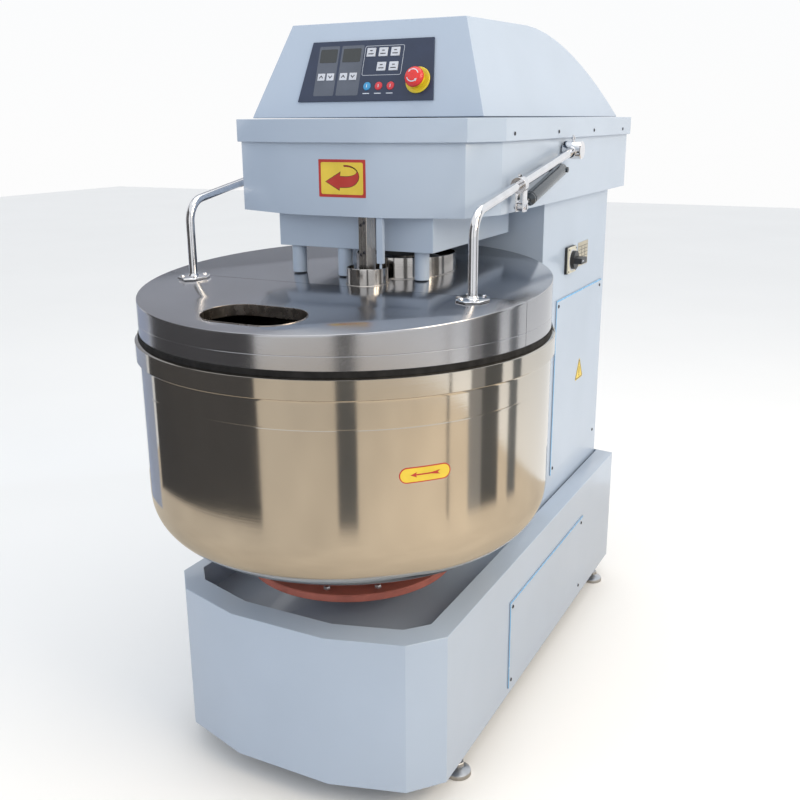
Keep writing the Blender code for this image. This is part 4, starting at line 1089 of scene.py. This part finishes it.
def make_light():
    """A pale sky that turns slightly blue upwards, a warm key from the right and two weak fills."""
    world = bpy.data.worlds.new("studio")
    bpy.context.scene.world = world
    world.use_nodes = True
    nodes, links = world.node_tree.nodes, world.node_tree.links
    background = nodes["Background"]
    background.inputs["Strength"].default_value = 0.98
    place, split, remap, ramp = (nodes.new("ShaderNode" + kind)
                                 for kind in ("TexCoord", "SeparateXYZ", "MapRange", "ValToRGB"))
    remap.inputs["From Min"].default_value = -1
    links.new(place.outputs["Generated"], split.inputs["Vector"])
    links.new(split.outputs["Z"], remap.inputs["Value"])
    links.new(remap.outputs["Result"], ramp.inputs["Fac"])
    links.new(ramp.outputs["Color"], background.inputs["Color"])
    stops = ((0.49, (1.0, 1.0, 1.0, 1)), (0.75, (0.95, 0.975, 1.0, 1)))
    for element, (position, colour) in zip(ramp.color_ramp.elements, stops):
        element.position, element.color = position, colour
    area_light("key_right", (3.2, -0.6, 2.8), (0, 0, 0.8), (2.5, 2.0), 84, (1.0, 0.84, 0.62))
    area_light("front_fill", (-2.6, -3.2, 2.2), (0, -0.2, 0.9), (2.6, 2.0), 20, (0.92, 0.96, 1.0))
    area_light("top_soft", (0.2, 0.2, 4.0), (0, 0, 1.0), (3.0, 3.0), 30)


def card(name, bm, colour):
    """A studio card that only mirror-like surfaces see."""
    thing = stage_object(name, bm, colour, 0.08, 1.5, 0.8)
    for ray in ("camera", "diffuse", "transmission", "volume_scatter", "shadow"):
        setattr(thing, f"visible_{ray}", False)


def curved_card(name, start, end, colour, low=0.13, high=2.2):
    """An upright card, curved round the bowl; the angles are in degrees."""
    middle, distance = centre("bowl"), 1.6
    steps = max(2, int(abs(end - start) / 3))
    bm = bmesh.new()
    posts = [[bm.verts.new((x, y, z)) for z in (low, high)]
             for x, y in arc(middle.x, middle.y, distance, start, end, steps)]
    for before, after in zip(posts, posts[1:]):
        bm.faces.new(before + after[::-1])
    card(name, bm, colour)


def make_cards():
    """Grey cards round the bowl and a warm sheet on the floor, for the stripes in the polished steel."""
    curved_card("card_left", -175, -102, (0.06, 0.06, 0.065))
    curved_card("card_left_sky", 158, 182, (0.4, 0.45, 0.58), 0.02, 0.95)
    curved_card("card_back_left", 112, 172, (0.3, 0.32, 0.37), 0.97, 2.6)
    curved_card("card_front", -65.5, -56.5, (0.12, 0.12, 0.12))
    curved_card("card_line", -13.8, -12.6, (0.16, 0.15, 0.14))
    curved_card("card_right_grey", -2, 6, (0.34, 0.33, 0.32))
    curved_card("card_right_dark", 6, 17.5, (0.11, 0.11, 0.11))
    curved_card("card_right_edge", 25, 32, (0.18, 0.19, 0.2))
    bm = bmesh.new()
    bmesh.ops.create_circle(bm, cap_ends=True, segments=64, radius=3.2)
    bmesh.ops.translate(bm, verts=bm.verts, vec=(0.4, -1.8, 0.001))
    card("ground_card", bm, (0.6, 0.52, 0.42))


def make_camera():
    focal_pixels, picture_width, sensor = 957.7, 800, 36.0
    yaw, pitch, roll = 27.234, 16.318, -0.388
    data = bpy.data.cameras.new("camera")
    data.sensor_width = sensor
    data.lens = sensor * focal_pixels / picture_width
    camera = bpy.data.objects.new("camera", data)
    matrix = Matrix.Translation((0.9901, -1.9995, 1.3382))
    for angle, axis in ((yaw, "Z"), (90 - pitch, "X"), (roll, "Z")):
        matrix = matrix @ Matrix.Rotation(radians(angle), 4, axis)
    camera.matrix_world = matrix
    bpy.context.scene.collection.objects.link(camera)
    bpy.context.scene.camera = camera
    bpy.context.scene.view_settings.view_transform = "Standard"


make_camera()
make_light()
make_floor()
make_cards()
make_casings()
make_casing_screws()
make_bowl_sticker(*make_bowl())
make_turntable()
make_lid()
make_seal()
make_arms()
make_posts()
make_breaker_bar()
rounded_copy("spiral_hook", TOOL_STEEL, 0.0006)
make_feet()
make_fascia()
make_stop()
make_direction_sign()
make_switch()
make_rating_plate()
make_warning_triangle()
make_film_edges()
make_machinery()
